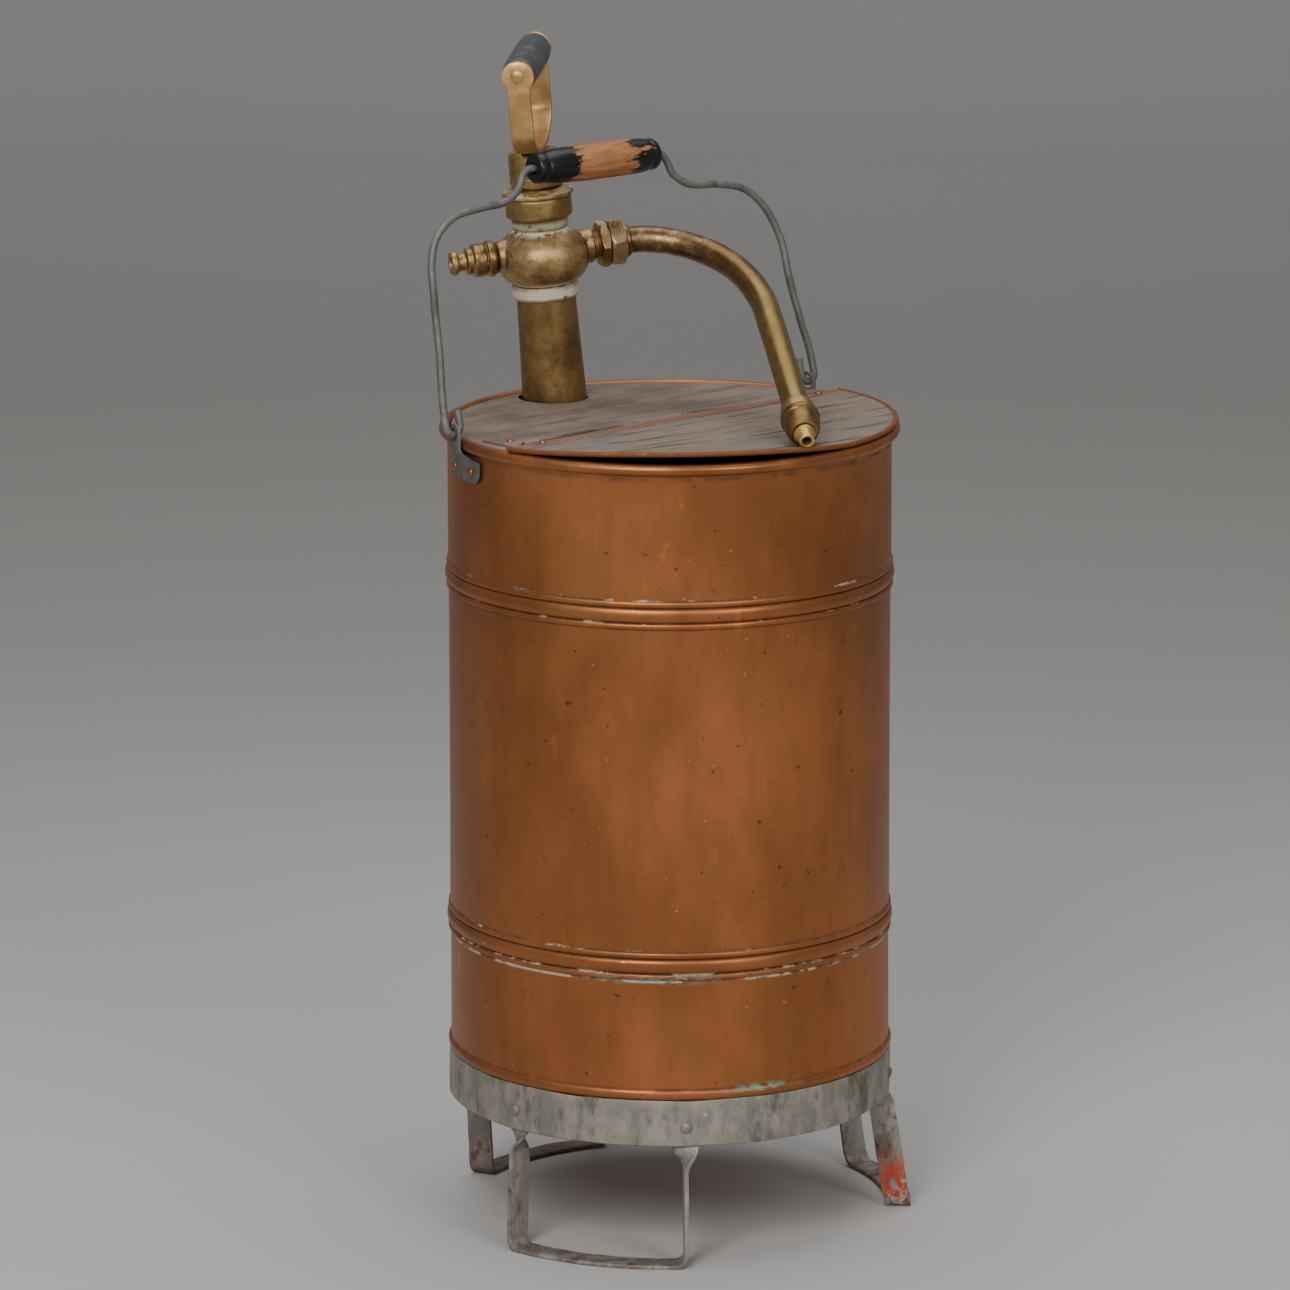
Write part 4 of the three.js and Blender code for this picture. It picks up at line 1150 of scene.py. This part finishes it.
def melt(obj, shape, place):
    """Adds a shape to a piece's mesh, for `cast` to melt in."""
    work = bmesh.new()
    work.from_mesh(obj.data)
    verts = [work.verts.new(place @ (v * MM)) for v in shape[0]]
    for face in shape[1]:
        work.faces.new([verts[i] for i in face])
    work.to_mesh(obj.data)
    work.free()


def make_gland(look, leather):
    nut = [(19.6, 127.6), (21.2, 127.6), (22.2, 128.4), (22.7, 129.6), (22.7, 141.2), (22.1, 142),
           (22.5, 142.6), (24, 142.9), (24.4, 143.6), (24.4, 145), (23.8, 145.8), (22.4, 146.3),
           (20, 147.2), (16.6, 148.7), (14.8, 149), (6.6, 149), (6.6, 136.4), (19.6, 136.4)]
    shape = turned(nut, 0.5, 3, 96, steps=2)
    build("gland_cap", uneven(shape, 0.12, 8, seed=1), PUMP, look, "gland_nut")
    frame["nodes"]["gland_packing"].data.materials[0] = leather


BOSS_TOP = 173.5
HANDLE_STRAP = {"width": 16, "thickness": 4, "eye": 11, "half": 50, "drop": 20}


def make_handle(look, boss_look, black, inner):
    boss = [(0, 149.4), (16.8, 149.4), (17.8, 150.2), (18.2, 151.6), (18.2, 156), (17.7, 156.6),
            (18.2, 157.2), (18.2, 168.6), (17.8, 171), (16.8, 172.7), (15.4, BOSS_TOP), (0, BOSS_TOP)]
    build("rod_cap", uneven(lathe(rounded(boss, 0.6), 72), 0.15, 8, seed=9), PUMP, boss_look, "rod_boss")
    frame["nodes"]["pump_rod"].data.materials[0] = inner

    eye = (spot("handle_grip_spin") - spot("rod_turn")).dot(PUMP_AXIS) / MM
    low = BOSS_TOP + 0.3 + HANDLE_STRAP["thickness"] / 2 - eye
    half, drop = HANDLE_STRAP["half"], HANDLE_STRAP["drop"]
    line = [(-half, 10.9)] + [(-half, z) for z in (8, 4, 0, -6, -14, -22, -30)]
    line += [(half * math.cos(math.radians(a)), low + drop * (1 + math.sin(math.radians(a))))
             for a in range(180, 361, 9)]
    line += [(half, z) for z in (-30, -22, -14, -6, 0, 4, 8)] + [(half, 10.9)]
    path = smooth_line([(x, 0, z) for x, z in line], 150)

    def section(i):
        height = path[i].z
        inside = HANDLE_STRAP["eye"] ** 2 - height ** 2
        width = 2 * math.sqrt(max(inside, 2.0 if height > 0 else 0.0))
        if height <= 0:
            waist = HANDLE_STRAP["width"] - 0.8 * math.exp(-((height + 16) / 12) ** 2)
            width = max(waist, width)
        return rounded_bar(width, HANDLE_STRAP["thickness"], 1.2)

    stops = [(p, along, Vector((0, 1, 0))) for p, along, _ in directions(path)]
    yoke = build("yoke_strap", uneven(bar(stops, section), 0.25, 14, seed=2), HANDLE, look, "handle_yoke")
    drill(yoke, moved(lathe([(0, -70), (3.1, -70), (3.1, 70), (0, 70)], 32), ALONG_X), HANDLE)

    pin = [(0, -53.6), (2, -53.6), (2.8, -53.2), (2.8, 53.2), (2, 53.6), (0, 53.6)]
    heads = [(0, 0), (4.6, 0), (4.4, 0.7), (3.2, 1.3), (1.6, 1.55), (0, 1.6)]
    right = moved(lathe(heads, 32), Matrix.Translation((0, 0, 52.1)))
    left = moved(right, Matrix.Rotation(math.pi, 4, "Y"))
    shape = moved(joined(lathe(pin, 32), right, left), ALONG_X)
    build("grip_pin", shape, HANDLE, look, "handle_pin")

    grip = [(3.2, -45.5), (10.2, -45.5), (11.2, -44.6), (11.6, -42), (11.9, -30), (12, -12), (12, 9.6),
            (11.6, 10.2), (11.9, 10.8), (12, 20), (11.8, 32), (11.4, 42.5), (10.8, 44.8), (9.8, 45.5),
            (3.2, 45.5)]
    shape = moved(turned(grip, 0.8, 4, 64), ALONG_X)
    build("roller_grip", uneven(shape, 0.3, 12, seed=3), HANDLE, black, "handle_grip")


# ---------------------------------------------------------------- spout
SPOUT_LINE = [(-11, 0), (6, 0.3), (22, 6), (39.5, 19), (53.6, 37.5), (63, 62), (66.4, 94), (63.4, 128),
              (58.2, 172), (50.8, 232)]


def make_spout(pipe_look, collar_look, cap_look, tip_look):
    path = smooth_line([(along, 0, -away) for along, away in SPOUT_LINE], 120)

    def radius(share):
        return 9.15 + 0.12 * math.sin(share * 31) * math.exp(-((share - 0.35) / 0.3) ** 2)

    build("spout_tube", wire(path, radius, 40, bore=8), SPOUT, pipe_look, "spout_pipe")
    ferrule = [(9.8, -4.2), (11, -4.2), (11.4, -3.6), (11.3, -2.4), (10.6, -1), (9.8, -1)]
    shape = moved(lathe(rounded(ferrule, 0.3, closed=True), 56), ALONG_X)
    build("pipe_ferrule", shape, SPOUT, pipe_look, "spout_ferrule")

    end = Vector((SPOUT_LINE[-1][0], 0, -SPOUT_LINE[-1][1]))
    before = Vector((SPOUT_LINE[-2][0], 0, -SPOUT_LINE[-2][1]))
    nozzle = SPOUT @ basis(end * MM, end - before, (1, 0, 0))
    collar = [(9.8, -3), (10.6, -3), (11.2, -2), (11.5, 0), (11.6, 3.6), (11, 5.4), (10.6, 6.6),
              (9.8, 6.6)]
    shape = uneven(turned(collar, 0.5, 2, 64), 0.25, 4, seed=1)
    build("spout_collar", shape, nozzle, collar_look, "nozzle_collar")
    cap = [(7.4, 7), (11.4, 7), (12.6, 7.8), (13.2, 9), (13.2, 11.6), (12.6, 12.8), (12, 13.4),
           (12.1, 15), (12, 19.6), (11.4, 22.4), (10.2, 25.4), (9.4, 27.2), (7.4, 27.4)]
    build("spout_cap", uneven(turned(cap, 0.5, 2, 72), 0.15, 5, seed=5), nozzle, cap_look, "nozzle_cap")
    tip = [(3.4, 27.8), (7.6, 27.8), (7.4, 28.8), (6.6, 30.4), (5.6, 33), (5.1, 34.6), (5.3, 35.4),
           (5.2, 36.6), (4.7, 37), (3.4, 37)]
    build("spout_tip", lathe(rounded(tip, 0.4, closed=True), 48), nozzle, tip_look, "nozzle_tip")


# ---------------------------------------------------------------- stage, lights and camera
VIEW_TURN = math.radians(-43)


def make_stage():
    """A floor that curves up into a wall behind the tank, in metres."""
    verts, size, depth, bend = [], 9, 4.2, 1.6
    line = [(-size, 0)] + [(y, 0) for y in range(-6, 4)]
    turns = [math.radians(angle) for angle in range(10, 91, 8)]
    line += [(depth + bend * math.sin(t), bend - bend * math.cos(t)) for t in turns]
    line += [(depth + bend, 5), (depth + bend, 9)]
    for y, z in line:
        verts += [Vector((-size, y, z)), Vector((size, y, z))]
    mesh = bpy.data.meshes.new("floor")
    faces = [(i, i + 1, i + 3, i + 2) for i in range(0, len(verts) - 2, 2)]
    turn = Matrix.Rotation(VIEW_TURN, 4, "Z")
    mesh.from_pydata([TANK @ turn @ v for v in verts], [], faces)
    for polygon in mesh.polygons:
        polygon.use_smooth = True
    mesh.materials.append(floor_look())
    floor = bpy.data.objects.new("floor", mesh)
    bpy.context.scene.collection.objects.link(floor)


def area_light(name, place, target, size, power):
    """A soft box, placed in the camera's own right, back and up directions from the tank, in metres."""
    light = bpy.data.lights.new(name, "AREA")
    light.shape = "RECTANGLE"
    light.size, light.size_y = size
    light.energy = power
    obj = bpy.data.objects.new(name, light)
    turn = TANK @ Matrix.Rotation(VIEW_TURN, 4, "Z")
    at, to = turn @ Vector(place), turn @ Vector(target)
    obj.location = at
    obj.rotation_euler = (to - at).to_track_quat("-Z", "Y").to_euler()
    bpy.context.scene.collection.objects.link(obj)


def make_lights():
    world = bpy.data.worlds.new("studio")
    world.use_nodes = True
    background = world.node_tree.nodes["Background"].inputs
    background["Color"].default_value = (1.0, 0.985, 0.965, 1)
    background["Strength"].default_value = 0.3
    bpy.context.scene.world = world
    area_light("key", (-0.9, -2.8, 2.3), (0, 0, 0.4), (1.3, 1.6), 84)
    area_light("fill", (1.7, -2.6, 1.9), (0, 0, 0.4), (1.1, 1.5), 34)
    area_light("top", (0, 0.6, 3.2), (0, 0.3, 0), (2.6, 2.6), 52)


def make_camera():
    camera = bpy.data.cameras.new("camera")
    camera.lens = 202.7
    camera.sensor_width = 36
    camera.shift_x = -0.0192
    camera.clip_end = 40
    obj = bpy.data.objects.new("camera", camera)
    obj.location = TANK_AXIS + Vector((-3.2797, -3.5171, 1.4815))
    obj.rotation_euler = (math.radians(77.25), 0, VIEW_TURN)
    bpy.context.scene.collection.objects.link(obj)
    bpy.context.scene.camera = obj


# ---------------------------------------------------------------- the whole
def main():
    make_camera()
    make_lights()
    make_stage()

    copper = copper_look()
    steel = steel_look("band_steel", rgb(130, 126, 114), rgb(160, 154, 142), rgb(90, 88, 74), 40).material
    wire_steel = steel_look("bail_steel", rgb(98, 98, 95), rgb(118, 117, 113), rgb(78, 74, 68), 42,
                            rust=0.05)
    iron = steel_look("rusty_iron", rgb(84, 72, 62), rgb(100, 88, 76), rgb(60, 48, 40), 43,
                      rust=0.5).material
    leather = leather_look()
    crust = rgb(206, 196, 178)
    cast_brass = brass_look(
        "cast_brass", rgb(126, 100, 62), rgb(182, 150, 104), 12, crust,
        ((82.5, 3, 0.34), (76.5, 7, 0.3), (119, 4, 0.42), (106, 26, 0.6)), shade=0.6, grain=0.16).material
    gland = brass_look(
        "gland_brass", rgb(138, 110, 68), rgb(176, 146, 94), 14, rgb(172, 176, 152),
        ((123.5, 5, 0.36), (146, 4, 0.48)), shade=0.35, grain=0.05).material
    union = brass_look("union_brass", rgb(150, 122, 82), rgb(206, 182, 142), 15, roughness=(0.22, 0.36),
                       shade=0.3).material
    yoke = brass_look("yoke_brass", rgb(182, 142, 88), rgb(214, 174, 118), 16, roughness=(0.38, 0.55),
                      shade=0.25, grain=0.1).material
    inner = brass_look("inner_brass", rgb(150, 120, 66), rgb(176, 144, 84), 18, shade=0.2).material
    cap = brass_look("cap_brass", rgb(110, 84, 54), rgb(140, 110, 72), 20, shade=0.5).material
    tip = brass_look("tip_brass", rgb(186, 148, 82), rgb(214, 178, 108), 22, shade=0.3).material
    ring = brass_look("collar_brass", rgb(134, 112, 70), rgb(160, 138, 92), 24, shade=0.4).material

    make_tank(copper, steel)
    make_feet(foot_look(), steel)
    make_rear_lid(rear_lid_look())
    make_hinge_leaf(rear_lid_look(), iron)
    make_flap(flap_look())
    make_lid_rivets(copper)
    make_ears(wire_steel.material, copper)
    make_bail(wire_steel.material, grip_look())
    make_pump_body(barrel_look(), cast_brass, gland, union)
    make_gland(gland, leather)
    make_handle(yoke, gland, handle_grip_look(), inner)
    make_spout(spout_look(), ring, cap, tip)
    for node in ("piston_body", "piston_washer", "piston_nut", "foot_valve_seat", "foot_valve_ball"):
        frame["nodes"][node].data.materials[0] = inner
    frame["nodes"]["piston_cup"].data.materials[0] = leather


main()
